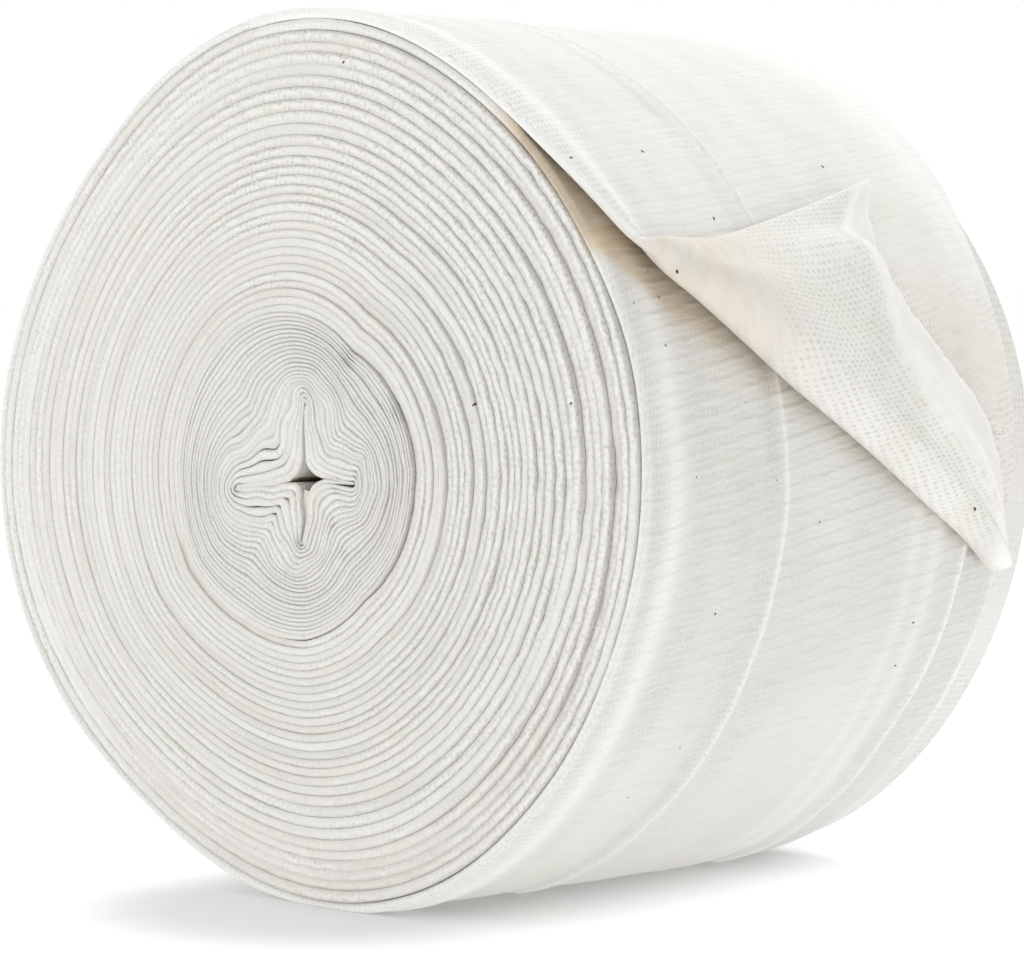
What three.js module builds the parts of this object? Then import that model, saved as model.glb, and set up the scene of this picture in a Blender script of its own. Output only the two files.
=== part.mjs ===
// Tubular bandage roll: a long knitted tube, laid flat and wound up on itself, with the front
// corner of its loose end turned back over the top of the roll. Millimetres, +Z up.
// The roll lies on its side, its axis along Y and its front end face towards -Y. The origin is
// the middle of the small flat spot that the roll rests on.

import * as THREE from 'three';
import { ParametricGeometry } from 'three/addons/geometries/ParametricGeometry.js';

const { degToRad, euclideanModulo, lerp, smoothstep } = THREE.MathUtils;

// Driving dimensions.
const BAND_WIDTH = 100; // the tube laid flat, and so the length of the roll
const ROLL_RADIUS = 72.4; // outside of the last full turn, where the loose end begins
const TURN_PITCH = 1.8; // one flattened turn of the outer winding
const SEAT_GAP = 0.3; // clearance between one piece or layer and the next
const CLOTH_THICKNESS = TURN_PITCH - SEAT_GAP; // both plies of the loose end
const AXIS_HEIGHT = 70; // the roll has settled onto its flat spot this far below its axis
const REAR_SAG = 1.4; // the winding hangs this much lower at its rear end

// Angles are degrees about the roll's axis: 0 towards +X, 90 straight up. The band winds
// outwards as the angle falls, so the loose end comes over the crown and down on +X.
const LOOSE_START = 99;
const STEP_ANGLE = 0.8; // the last full turn ends within this angle
const ARC_PER_DEGREE = degToRad(ROLL_RADIUS);

// The winding is not quite round: each row adds a wave with that many lobes to the radius.
const OUT_OF_ROUND = [
  { lobes: 2, cosine: 1.5, sine: 0 },
  { lobes: 3, cosine: -0.8, sine: -0.45 },
  { lobes: 4, cosine: 0.9, sine: 0.6 },
];

// The innermost turns have buckled into a star, so the hole has one long slit in each arm.
const CORE = { x: 0.2, z: -2, openHalf: 2.2 };
const STAR_ARMS = [
  { angle: -2, reach: 10.2, halfWidth: 0.6 },
  { angle: 96, reach: 7, halfWidth: 0.7 },
  { angle: 190, reach: 17, halfWidth: 0.7 },
  { angle: 259, reach: 10.5, halfWidth: 0.9 },
];
const SAMPLES_PER_ARM = 27;
const ARM_CROWDING = 0.86; // 0 spreads the samples evenly, 1 packs them onto the arms

// The roll's closed profile, from the hole's front lip round to its rear lip. Share is how far
// out of the hole a point lies, depth is measured from the front end face, and drop is how far
// a point lies below the roll's radius.
const PROFILE = [
  { share: 0, depth: 1.2, drop: 2.6 }, // front lip of the hole
  { share: 0.06, depth: 0, drop: 2.6 },
  { share: 0.35, depth: 0, drop: 2.6 },
  { share: 0.7, depth: 0, drop: 2.6 },
  { share: 1, depth: 0, drop: 2.6 },
  { share: 1, depth: 0.9, drop: 1.1 }, // front fold of the tube
  { share: 1, depth: 3, drop: 0.2 },
  { share: 1, depth: 7, drop: 0 }, // soft band behind the fold
  { share: 1, depth: 14, drop: 0.5 },
  { share: 1, depth: 31, drop: 0.2 }, // pressed crease
  { share: 1, depth: 33, drop: 0.6 },
  { share: 1, depth: 62, drop: 0.6 },
  { share: 1, depth: 71, drop: 0.3 }, // soft rear band
  { share: 1, depth: 77.5, drop: 0.6 },
  { share: 1, depth: 79.5, drop: 1.2 }, // step over the turns beneath
  { share: 1, depth: 89, drop: 1.4 }, // rear edge of the last full turn
  { share: 1, depth: 90.4, drop: 2.8 },
  { share: 1, depth: 97, drop: 3.2 },
  { share: 1, depth: 99.2, drop: 4 }, // rear fold of the turns inside it
  { share: 1, depth: 100.2, drop: 5.2 },
  { share: 0.7, depth: 100.8, drop: 5.2 },
  { share: 0.3, depth: 100.8, drop: 5.2 },
  { share: 0, depth: 99.8, drop: 5.2 }, // rear lip of the hole
];

// The loose end, one row for each of a few threads that run along the band. Across is the
// thread's place from the front edge. The thread rounds the fold at foldAngle and foldDepth,
// where the fold runs at slant degrees to the winding and turns on radius turn, lift above its
// seat. The corner that is turned back rises to crest, at crestShare of its way, bows forward
// by bow, and ends at edgeAngle and edgeDepth, edgeLift above the roll.
const THREADS = [
  { across: 0, foldAngle: 31, foldDepth: -1.5, slant: 42, turn: 4, lift: 2.4, crest: 5.5, crestShare: 0.6,
    bow: 4, edgeAngle: 37.5, edgeDepth: 68, edgeLift: 5 },
  { across: 12, foldAngle: 21, foldDepth: 11, slant: 50, turn: 4.2, lift: 2, crest: 8.5, crestShare: 0.7,
    bow: 3, edgeAngle: 30, edgeDepth: 62.5, edgeLift: 4 },
  { across: 28, foldAngle: 11.5, foldDepth: 29, slant: 55, turn: 3.7, lift: 1, crest: 9.5, crestShare: 0.62,
    bow: 2, edgeAngle: 21.5, edgeDepth: 64, edgeLift: 3.2 },
  { across: 45, foldAngle: 4.5, foldDepth: 45, slant: 58, turn: 3.2, lift: 0.4, crest: 9, crestShare: 0.55,
    bow: 1.5, edgeAngle: 13.5, edgeDepth: 70, edgeLift: 3.2 },
  { across: 62, foldAngle: -2, foldDepth: 61, slant: 61, turn: 2.7, lift: 0.2, crest: 7.5, crestShare: 0.5,
    bow: 1, edgeAngle: 6, edgeDepth: 78, edgeLift: 3.2 },
  { across: 80, foldAngle: -8, foldDepth: 76, slant: 63, turn: 2.2, lift: 0.1, crest: 5.5, crestShare: 0.5,
    bow: 0.5, edgeAngle: -3, edgeDepth: 83.5, edgeLift: 3.2 },
  { across: 99, foldAngle: -12.2, foldDepth: 86.5, slant: 65, turn: 1.7, lift: 0, crest: 3.6, crestShare: 0.5,
    bow: 0, edgeAngle: -11, edgeDepth: 86, edgeLift: 3.5 },
];
const LAP_SHARES = [0, 0.3, 0.5, 0.7, 0.87]; // where a thread is guided on its way to the fold
const LAP_DRIFT = { from: 0.35, to: 0.8 }; // the shares between which the lap is drawn forward
const LAP_RISE_POWER = 3; // the lap stays on the roll at first, then lifts towards the fold
const CREST_WEIGHT = 0.4; // how much of the crest is left halfway from it to the edge
const STEPS_PER_STRETCH = 3; // mesh steps from one guide to the next
const THREAD_STEPS = 21; // mesh steps across the band

/** Radius of the roll's outside at an angle, the step of its last turn included. */
function rollRadius(angle) {
  const turned = euclideanModulo(LOOSE_START - angle, 360);
  const stepShare = Math.min(turned / STEP_ANGLE, 1);
  let radius = ROLL_RADIUS - TURN_PITCH * stepShare * (1 - turned / 360);
  for (const { lobes, cosine, sine } of OUT_OF_ROUND) {
    const phase = degToRad(lobes * angle);
    radius += cosine * Math.cos(phase) + sine * Math.sin(phase);
  }
  return radius;
}

/** Distance from the core's centre to the wall of the star-shaped hole. */
function holeRadius(angle) {
  let radius = CORE.openHalf;
  for (const arm of STAR_ARMS) {
    const aside = degToRad(angle - arm.angle);
    if (Math.cos(aside) > 0) {
      const slitWall = arm.halfWidth / Math.abs(Math.sin(aside));
      radius = Math.max(radius, Math.min(arm.reach, slitWall));
    }
  }
  return radius;
}

/** Angles round the roll, crowded onto the arms of the star, with both sides of the step. */
function ringAngles() {
  const angles = [LOOSE_START, LOOSE_START - STEP_ANGLE];
  STAR_ARMS.forEach((arm, index) => {
    const next = STAR_ARMS[index + 1] ?? { angle: STAR_ARMS[0].angle + 360 };
    for (let sample = 0; sample < SAMPLES_PER_ARM; sample++) {
      const even = sample / SAMPLES_PER_ARM;
      const crowded = even - (ARM_CROWDING * Math.sin(2 * Math.PI * even)) / (2 * Math.PI);
      angles.push(lerp(arm.angle, next.angle, crowded));
    }
  });
  return angles.sort((a, b) => a - b);
}

/** A point at an angle, a radius from the roll's axis and a depth from its front face. */
function place(angle, radius, depth) {
  const turned = degToRad(angle);
  const axisHeight = AXIS_HEIGHT - (REAR_SAG * depth) / BAND_WIDTH;
  return new THREE.Vector3(
    radius * Math.cos(turned), depth - BAND_WIDTH / 2, axisHeight + radius * Math.sin(turned));
}

/** A point of the wound roll, flattened where it would sink into the surface below. */
function rollPoint(angle, { share, depth, drop }) {
  const rim = place(angle, rollRadius(angle) - drop, depth);
  const point = place(angle, holeRadius(angle), depth);
  point.x += CORE.x;
  point.z += CORE.z;
  point.lerp(rim, share);
  point.z = Math.max(point.z, 0);
  return point;
}

/** The wound roll: a ring of profiles that closes on itself both ways. */
function woundRollGeometry() {
  const angles = ringAngles();
  return new ParametricGeometry((u, v, target) => {
    const station = Math.round(u * PROFILE.length) % PROFILE.length;
    const ring = Math.round(v * angles.length) % angles.length;
    target.copy(rollPoint(angles[ring], PROFILE[station]));
  }, PROFILE.length, angles.length);
}

/** A guide point at an angle, as (arc along the winding, depth, height above the roll). */
function guideAt(angle, depth, height) {
  return new THREE.Vector3((LOOSE_START - angle) * ARC_PER_DEGREE, depth, height);
}

/** Guides of a thread's lap, from the last full turn to the underside of the fold. */
function lapGuides(row, seat, bottom) {
  const start = guideAt(LOOSE_START - STEP_ANGLE, row.across, seat);
  start.x += SEAT_GAP;
  return LAP_SHARES.map((share) => {
    const guide = start.clone().lerp(bottom, share);
    guide.y = lerp(start.y, bottom.y, smoothstep(share, LAP_DRIFT.from, LAP_DRIFT.to));
    guide.z = lerp(start.z, bottom.z, share ** LAP_RISE_POWER);
    return guide;
  });
}

/** Guides of the part of a thread that is turned back, between the fold and the cut edge. */
function flapGuides(row, top, edge) {
  const stations = [
    { share: row.crestShare / 2, height: (top.z + row.crest) / 2 },
    { share: row.crestShare, height: row.crest },
    { share: (1 + row.crestShare) / 2, height: lerp(row.edgeLift, row.crest, CREST_WEIGHT) },
  ];
  return stations.map(({ share, height }) => {
    const guide = top.clone().lerp(edge, share);
    guide.x += row.bow * Math.sin(Math.PI * share);
    guide.z = height;
    return guide;
  });
}

/** All guides of one thread, from the last full turn to the cut edge. */
function threadGuides(row) {
  const seat = SEAT_GAP + CLOTH_THICKNESS / 2;
  const slant = degToRad(row.slant);
  const inward = new THREE.Vector3(-Math.sin(slant), Math.cos(slant), 0).multiplyScalar(row.turn);
  const onward = new THREE.Vector3(Math.cos(slant), Math.sin(slant), 0);
  onward.multiplyScalar((Math.PI / 2) * row.turn / Math.tan(slant));

  const fold = guideAt(row.foldAngle, row.foldDepth, seat + row.lift + row.turn);
  const bottom = fold.clone().add(inward).sub(onward).setZ(seat + row.lift);
  const top = fold.clone().add(inward).add(onward).setZ(seat + row.lift + 2 * row.turn);
  const edge = guideAt(row.edgeAngle, row.edgeDepth, row.edgeLift);
  return [...lapGuides(row, seat, bottom), bottom, fold, top, ...flapGuides(row, top, edge), edge];
}

/** Points of the loose end's middle surface, one line for each thread, smooth both ways. */
function threadGrid() {
  const guides = THREADS.map(threadGuides);
  const guideCount = guides[0].length;
  const bands = Array.from({ length: guideCount }, (_, index) =>
    new THREE.CatmullRomCurve3(guides.map((thread) => thread[index]), false, 'catmullrom'));
  return Array.from({ length: THREAD_STEPS + 1 }, (_, thread) => {
    const stations = bands.map((band) => band.getPoint(thread / THREAD_STEPS));
    const curve = new THREE.CatmullRomCurve3(stations, false, 'catmullrom');
    return curve.getPoints((guideCount - 1) * STEPS_PER_STRETCH).map(({ x, y, z }) => {
      const angle = LOOSE_START - x / ARC_PER_DEGREE;
      return place(angle, rollRadius(angle) + z, y);
    });
  });
}

/** Moves each point of a grid along the surface's normal by a distance. */
function offsetGrid(grid, distance) {
  const lastRow = grid.length - 1;
  const lastColumn = grid[0].length - 1;
  return grid.map((line, row) => line.map((point, column) => {
    const ahead = line[Math.min(column + 1, lastColumn)];
    const behind = line[Math.max(column - 1, 0)];
    const right = grid[Math.min(row + 1, lastRow)][column];
    const left = grid[Math.max(row - 1, 0)][column];
    const normal = ahead.clone().sub(behind).cross(right.clone().sub(left)).normalize();
    return normal.multiplyScalar(distance).add(point);
  }));
}

/** The loose end: a sheet of both plies, closed along its edges. */
function looseEndGeometry() {
  const middle = threadGrid();
  const outer = offsetGrid(middle, CLOTH_THICKNESS / 2);
  const inner = offsetGrid(middle, -CLOTH_THICKNESS / 2);
  const loops = middle.map((_, row) => [...outer[row], ...inner[row].toReversed()]);
  const selvage = (loop) => loop.map((point, index) =>
    point.clone().add(loop[loop.length - 1 - index]).multiplyScalar(0.5));
  const closed = [selvage(loops[0]), ...loops, selvage(loops.at(-1))];
  const around = closed[0].length;
  return new ParametricGeometry((u, v, target) => {
    target.copy(closed[Math.round(v * (closed.length - 1))][Math.round(u * around) % around]);
  }, around, closed.length - 1);
}

/** A named mesh of knitted cotton. */
function knitMesh(name, geometry, color) {
  const material = new THREE.MeshStandardMaterial({ color, roughness: 0.95, metalness: 0 });
  const mesh = new THREE.Mesh(geometry, material);
  mesh.name = name;
  return mesh;
}

const bandageRoll = new THREE.Group();
bandageRoll.add(
  knitMesh('wound_roll', woundRollGeometry(), 0xe9e7df),
  knitMesh('loose_end', looseEndGeometry(), 0xe3dfd2),
);

export default bandageRoll;
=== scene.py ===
"""Visual model of a tubular bandage roll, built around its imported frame.

The roll lies on its side with its axis along Y and its front end face towards -Y. Lengths in this
file are millimetres unless a name says otherwise, and turn into metres when a mesh is made. Angles
are degrees about the roll's axis: 0 towards +X and 90 straight up. The band winds outwards as the
angle falls.
"""

import logging
import math
from dataclasses import dataclass, field
from enum import Enum

import bmesh
import bpy
import numpy as np
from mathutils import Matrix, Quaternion, Vector
from mathutils.bvhtree import BVHTree

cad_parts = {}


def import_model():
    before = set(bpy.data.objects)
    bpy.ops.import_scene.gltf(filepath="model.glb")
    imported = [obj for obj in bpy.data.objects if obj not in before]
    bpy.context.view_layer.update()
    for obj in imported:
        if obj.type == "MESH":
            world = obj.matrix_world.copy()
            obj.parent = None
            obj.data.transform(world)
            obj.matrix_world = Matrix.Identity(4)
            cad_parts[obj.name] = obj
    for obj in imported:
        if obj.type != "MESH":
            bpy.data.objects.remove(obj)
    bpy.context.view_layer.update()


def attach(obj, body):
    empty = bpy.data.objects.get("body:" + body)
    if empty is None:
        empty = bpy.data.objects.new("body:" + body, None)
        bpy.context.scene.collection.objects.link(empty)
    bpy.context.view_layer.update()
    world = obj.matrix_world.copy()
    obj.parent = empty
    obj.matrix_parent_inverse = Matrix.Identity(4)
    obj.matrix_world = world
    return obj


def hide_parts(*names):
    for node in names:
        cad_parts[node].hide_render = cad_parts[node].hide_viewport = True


LOG = logging.getLogger("bandage_roll")
METRES = 0.001  # one millimetre
BODY = "root"
FOLD_HALF = 0.8  # cloth that rounds half of a fold, in the flat layout of the band
MIDDLE_FROM, OUTER_FROM = 26.0, 41.0  # turn numbers at which those pieces begin
FINE_STEP, COARSE_STEP = 0.8, 1.2  # mesh steps along the inner turns and the others
FACE_DEPTH = 0.3  # about where the front folds lie, behind the end face

Array = np.ndarray
Colour = tuple[float, float, float, float]  # red, green, blue and opacity
Path = dict[str, Array]  # values along the band, by name
Ridges = tuple[tuple[float, float, float], ...]  # soft ridges by height, middle and width
Rows = tuple[tuple[float, float, float, float], ...]  # rows of four measures


# Plain helpers


def blend(low: Array, high: Array, share: Array) -> Array:
    """Returns the value that lies the given share of the way from low to high."""
    return low + (high - low) * share


def ease(value: Array, start: float, end: float) -> Array:
    """Returns 0 before start and 1 after end, with a smooth rise between them."""
    share = np.clip((value - start) / (end - start), 0.0, 1.0)
    return share * share * (3.0 - 2.0 * share)


def between(value: Array, rise: float, full: float, fall: float, end: float) -> Array:
    """Returns 1 from full to fall, and 0 before rise and after end."""
    return ease(value, rise, full) * (1.0 - ease(value, fall, end))


def bump(value: Array, middle: float, width: float) -> Array:
    """Returns a soft ridge, 1 high at its middle, that has faded out at about twice its width."""
    return np.exp(-(((value - middle) / width) ** 2))


def ridges(value: Array, rows: Ridges) -> Array:
    """Returns the sum of soft ridges."""
    return sum(height * bump(value, middle, width) for height, middle, width in rows)


def signed(angle: Array) -> Array:
    """Returns the same direction as an angle from -180 to 180."""
    return np.mod(angle + 180.0, 360.0) - 180.0


def half_turn(steps: int) -> Array:
    """Returns the angles of the mesh points that round a fold, in radians."""
    return np.linspace(-math.pi / 2.0, math.pi / 2.0, steps + 1)


@dataclass(frozen=True)
class Wander:
    """Smooth unevenness, made from seeded waves."""

    seed: int  # seed of its random draws
    height: float  # typical height of the unevenness
    longest: float  # longest wave
    shortest: float  # shortest wave
    waves: int = 14  # how many waves are added up

    def at(self, *coordinates: Array) -> Array:
        """Evaluates the unevenness.

        Args:
            *coordinates: One array for each direction in which it varies.

        Returns:
            The height at each place.
        """
        draw = np.random.default_rng(self.seed)
        total = np.zeros(np.broadcast(*coordinates).shape)
        for _ in range(self.waves):
            span = math.log(self.longest / self.shortest)
            wave = self.shortest * math.exp(span * draw.random())
            heading = draw.normal(size=len(coordinates))
            heading /= np.linalg.norm(heading)
            phase = draw.random() * math.tau
            path = sum(part * axis for part, axis in zip(heading, coordinates))
            total = total + np.cos(math.tau * path / wave + phase)
        return self.height * total / math.sqrt(self.waves / 2.0)


# The form of the roll


@dataclass(frozen=True)
class RollForm:
    """Outside form of the roll, which its pieces share."""

    width: float = 100.0  # flat width of the tube, and so the length of the roll
    radius: float = 72.4  # outside of the last full turn, where the loose end begins
    pitch: float = 1.8  # one flattened turn of the outer winding
    seat_gap: float = 0.3  # clearance between one layer and the next
    axis_height: float = 70.0  # height of the axis at the front end
    rear_sag: float = 1.4  # how much lower the winding hangs at its rear end
    loose_start: float = 99.0  # angle at which the loose end begins
    step_angle: float = 0.8  # the last full turn ends within this angle
    # Waves of the outline: how many lobes, cosine part and sine part.
    lobes: tuple[tuple[int, float, float], ...] = (
        (2, 1.5, 0.0), (3, -0.8, -0.45), (4, 0.9, 0.6))

    @property
    def arc_per_degree(self) -> float:
        """Length of band that one degree of the outside takes."""
        return math.radians(self.radius)

    def out_of_round(self, angle: Array) -> Array:
        """Returns how far the outline stands out from a circle at an angle."""
        turned = np.radians(angle)
        return sum(
            cosine * np.cos(count * turned) + sine * np.sin(count * turned)
            for count, cosine, sine in self.lobes)

    def outside(self, angle: Array) -> Array:
        """Works out the outside of the roll, the step of the last turn included.

        Args:
            angle: Angle about the axis.

        Returns:
            The radius there.
        """
        turned = np.mod(self.loose_start - angle, 360.0)
        step = np.minimum(turned / self.step_angle, 1.0)
        drop = self.pitch * step * (1.0 - turned / 360.0)
        return self.radius - drop + self.out_of_round(angle)

    def place(self, across: Array, height: Array, depth: Array) -> Array:
        """Places points of the winding.

        Args:
            across: Distance from the axis towards +X.
            height: Distance above the axis.
            depth: Distance behind the front end face.

        Returns:
            Points in the part's frame, with x, y and z last. None lies below the floor.
        """
        level = self.axis_height - self.rear_sag * depth / self.width + height
        spots = np.broadcast_arrays(across, depth - self.width / 2.0, level)
        points = np.stack(spots, axis=-1)
        points[..., 2] = np.maximum(points[..., 2], 0.0)
        return points

    def place_polar(self, angle: Array, radius: Array, depth: Array) -> Array:
        """Returns points at an angle, a radius from the axis and a depth."""
        turned = np.radians(angle)
        return self.place(radius * np.cos(turned), radius * np.sin(turned), depth)

    def beside(self, path: Path, offset: Array, depth: Array) -> Array:
        """Returns points at distances out of the roll from a path, and at depths."""
        x, z, out_x, out_z = (path[name][:, None] for name in ("x", "z", "out_x", "out_z"))
        return self.place(x + out_x * offset, z + out_z * offset, depth)


@dataclass(frozen=True)
class StarArm:
    """One slit of the star in the middle of the roll."""

    angle: float  # direction in which it runs from the star's centre
    reach: float  # how far it runs
    gap: float  # how wide it gapes at its foot, on either side
    gap_reach: float  # how far it gapes


@dataclass
class Winding:
    """Path of the band from the star in the middle to the outside of the roll.

    A turn number is found for every place on the end face, and the path is a line of equal
    numbers that climbs by one on its way round.
    """

    form: RollForm
    turns: float = 53.479  # number of turns
    centre: tuple[float, float] = (0.2, -2.0)  # middle of the star, from the axis
    # The slits of the star.
    arms: tuple[StarArm, ...] = (
        StarArm(-1.0, 10.2, 0.2, 8.0), StarArm(91.0, 11.6, 0.0, 5.5),
        StarArm(188.5, 16.4, 0.3, 13.0), StarArm(261.0, 10.0, 1.35, 12.0))
    open_across: float = 2.7  # half width of the open diamond in its middle
    open_height: float = 0.8  # half height of the open diamond
    softness: float = 0.55  # how widely the turns round the corners between the slits
    core_turns: float = 23.0  # number of turns inside the core's outline
    # Radius of the core's outline at each angle.
    core_outline: tuple[tuple[float, float], ...] = (
        (0, 23.6), (28, 22.3), (60, 21.0), (92, 24.0), (130, 27.4), (180, 30.2), (213, 31.2),
        (240, 28.6), (270, 27.2), (302, 24.0), (332, 23.8))
    # Turn thickness at each share of the way from that outline to the rim.
    pitches: tuple[tuple[float, float], ...] = (
        (0.0, 1.22), (0.3, 1.3), (0.52, 1.42), (0.64, 1.75), (1.0, 1.8))
    # Places where the turns part a little, each with its size.
    pockets: tuple[tuple[float, float, float], ...] = (
        (5.8, -8.9, 1.1), (8.3, -13.4, 0.9), (7.0, -2.6, 1.4), (10.6, -2.3, 1.2),
        (-16.3, -4.9, 1.1), (-1.7, -12.3, 1.1), (9.3, 17.1, 1.6), (20.3, 9.3, 2.0))
    samples: int = 1080  # samples taken on each turn before the path is evened out
    first: float = 0.5  # turn number of the band's inner end
    # Unevenness that bends the turns in the core, sideways and up.
    bends: tuple[Wander, Wander] = (Wander(41, 0.42, 14.0, 5.5), Wander(42, 0.42, 14.0, 5.5))
    # Smallest and largest radius tried when the path is found.
    radii: tuple[float, float] = (0.05, 90.0)
    halvings: int = 34  # how often the span between them is halved
    # Shares of the way out of the core, and the turns inside each.
    counts: tuple[Array, Array] = field(init=False)
    path: Path = field(init=False)  # values along the whole band

    def __post_init__(self) -> None:
        """Works out how many turns lie inside each share of the way out."""
        share = np.linspace(0.0, 1.0, 400)
        rate = 1.0 / np.interp(share, *zip(*self.pitches))
        count = np.concatenate([[0.0], np.cumsum((rate[1:] + rate[:-1]) / 2.0)])
        outer = self.turns - 0.5 - self.core_turns
        self.counts = (share, self.core_turns + count * outer / count[-1])
        self.path = self.trace()

    def star_distance(self, x: Array, z: Array) -> Array:
        """Measures how far a place is from the nearest part of the star.

        Args:
            x: Distance from the axis towards +X.
            z: Distance above the axis.

        Returns:
            The distance, rounded where two parts of the star are as near.
        """
        x = x - self.centre[0]
        z = z - self.centre[1]
        reach = math.hypot(self.open_across, self.open_height)
        side_x, side_z = self.open_across / reach, self.open_height / reach
        slide = (self.open_across - np.abs(x)) * side_x + np.abs(z) * side_z
        slide = np.clip(slide, 0.0, reach)
        nearest = np.hypot(np.abs(x) - self.open_across + slide * side_x,
                           np.abs(z) - slide * side_z)
        opening = np.abs(x) / self.open_across + np.abs(z) / self.open_height < 1.0
        reached = [np.where(opening, 0.0, nearest)]
        for arm in self.arms:
            turned = math.radians(arm.angle)
            along = x * math.cos(turned) + z * math.sin(turned)
            aside = -x * math.sin(turned) + z * math.cos(turned)
            past = along - np.clip(along, 0.0, arm.reach)
            gap = arm.gap * np.clip(1.0 - np.maximum(along, 0.0) / arm.gap_reach, 0.0, 1.0)
            reached.append(np.hypot(past, aside) - gap)
        nearest = np.minimum.reduce(reached)
        others = sum(np.exp((nearest - distance) / self.softness) for distance in reached)
        return np.maximum(nearest - self.softness * np.log(others), 0.0)

    def number_at(self, x: Array, z: Array) -> Array:
        """Finds the turn number of a place.

        Args:
            x: Distance from the axis towards +X.
            z: Distance above the axis.

        Returns:
            The number, counted from the star to the outside.
        """
        angle = np.degrees(np.arctan2(z, x))
        radius = np.hypot(x, z)
        rim = self.form.radius - self.form.pitch / 2.0 + self.form.out_of_round(angle)
        outline = self.outline_at(angle)
        bent = between(radius, 3.0, 7.0, 14.0, 22.0)
        star = self.star_distance(*(place + bent * bend.at(x, z)
                                    for place, bend in zip((x, z), self.bends)))
        starry = star / np.maximum(star + outline - radius, 1e-6)
        even = (radius - outline) / (rim - outline)
        return np.where(radius < outline, self.core_turns * starry,
                        np.interp(even, *self.counts))

    def outline_at(self, angle: Array) -> Array:
        """Returns the radius of the core's outline at an angle."""
        angles, radii = np.array(self.core_outline, dtype=float).T
        return np.interp(np.mod(angle, 360.0), angles, radii, period=360.0)

    def origin(self, number: Array) -> tuple[Array, Array]:
        """Returns the point round which a turn is wound, as distances from the axis."""
        left = 1.0 - ease(number / self.turns, 0.1, 0.8)
        return self.centre[0] * left, self.centre[1] * left

    def angle_at(self, number: Array) -> Array:
        """Returns the angle that the band has reached at a turn number."""
        return self.form.loose_start - 360.0 * (number - self.turns)

    def near_rim(self, number: Array) -> Array:
        """Returns how much a turn follows the outside of the roll, from 0 to 1."""
        return ease(number, self.turns - 6.0, self.turns - 2.0)

    def trace(self) -> Path:
        """Follows the whole band.

        Returns:
            Number, angle, x, z, the local turn thickness and the length travelled.
        """
        count = int((self.turns - self.first) * self.samples) + 1
        number = np.linspace(self.first, self.turns, count)
        angle = self.angle_at(number)
        x0, z0 = self.origin(number)
        level = self.opened(number)
        low, high = (np.full_like(number, radius) for radius in self.radii)
        cos, sin = np.cos(np.radians(angle)), np.sin(np.radians(angle))
        for _ in range(self.halvings):
            middle = (low + high) / 2.0
            over = self.number_at(x0 + middle * cos, z0 + middle * sin) > level
            high = np.where(over, middle, high)
            low = np.where(over, low, middle)
        rim = self.form.radius - self.form.pitch * (self.turns - number + 0.5)
        rim = rim + self.form.out_of_round(angle)
        radius = blend((low + high) / 2.0, rim, self.near_rim(number))
        x, z = x0 + radius * cos, z0 + radius * sin
        along = np.concatenate([[0.0], np.cumsum(np.hypot(np.diff(x), np.diff(z)))])
        return {"number": number, "angle": angle, "x": x, "z": z,
                "thickness": self.thickness_at(x, z, number), "along": along}

    def stretch(self, first: float, last: float, step: float) -> Path:
        """Takes a stretch of the band at even steps.

        Args:
            first: Turn number at which it begins.
            last: Turn number at which it ends.
            step: Distance between samples.

        Returns:
            The arrays of the path, with the direction out of the roll added.
        """
        along = self.path["along"]
        begin, end = np.interp([first, last], self.path["number"], along)
        even = np.linspace(begin, end, int((end - begin) / step) + 1)
        made = {name: np.interp(even, along, values) for name, values in self.path.items()}
        ahead = {name: np.interp(even + 0.4, along, self.path[name])
                 - np.interp(even - 0.4, along, self.path[name]) for name in ("x", "z")}
        length = np.maximum(np.hypot(ahead["x"], ahead["z"]), 1e-9)
        made["out_x"], made["out_z"] = -ahead["z"] / length, ahead["x"] / length
        return made

    def opened(self, number: Array) -> Array:
        """Presses the slits of the star shut.

        Args:
            number: Turn number along the band.

        Returns:
            The turn number of the line that the band follows there.
        """
        whole = np.floor(number - self.first)
        stepped = whole + 0.42 + ease(number - self.first - whole, 0.78, 1.0)
        return blend(stepped, number, ease(number, 2.0, 6.0))

    def thickness_at(self, x: Array, z: Array, number: Array) -> Array:
        """Works out how thick the turn can be where it passes a place.

        Args:
            x: Distance from the axis towards +X.
            z: Distance above the axis.
            number: Turn number there.

        Returns:
            The thickness.
        """
        step = 0.12
        slope_x = self.number_at(x + step, z) - self.number_at(x - step, z)
        slope_z = self.number_at(x, z + step) - self.number_at(x, z - step)
        slope = np.hypot(slope_x, slope_z) / (2.0 * step)
        room = blend(1.0 / np.maximum(slope, 0.3), self.form.pitch, self.near_rim(number))
        room = np.clip(room, 0.5, 1.25 * self.form.pitch)
        for pocket_x, pocket_z, size in self.pockets:
            room = room * (1.0 - 0.4 * bump(np.hypot(x - pocket_x, z - pocket_z), 0.0, size))
        return room


# Meshes


@dataclass
class Tones:
    """How the finish and its painted light and shade vary over a piece, from 0 to 1 at each point.
    """

    pale: Array  # where it is painted paler: painted highlights on creases, ridges, edges and folds, and random paler wear
    shade: Array  # where shade is painted, and random greyer patches
    pits: Array  # where shade is painted into the pits between stitches
    warm: Array  # where warm shade and deep shadow are painted, under folds and in hollows

    def packed(self, shape: tuple[int, int]) -> Array:
        """Packs the four values of each point into one colour.

        Args:
            shape: Rows and columns of the mesh.

        Returns:
            The colours, with the channels last.
        """
        channels = (self.pale, self.shade, self.pits, self.warm)
        spread = [np.broadcast_to(np.clip(channel, 0.0, 1.0), shape) for channel in channels]
        return np.stack(spread, axis=-1).astype(np.float32)


@dataclass(frozen=True)
class Bands:
    """Soft bands that run along the cloth, each by its height, middle and width."""

    fixed: Ridges  # bands counted from the front of the cloth
    beside: tuple[Ridges, ...]  # for each crease or step, the bands counted from it

    def at(self, place: Array, *lines: Array) -> Array:
        """Returns the sum of the bands at a place, from where the creases or steps run."""
        return ridges(place, self.fixed) + sum(
            ridges(place - line, rows) for line, rows in zip(lines, self.beside))


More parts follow.
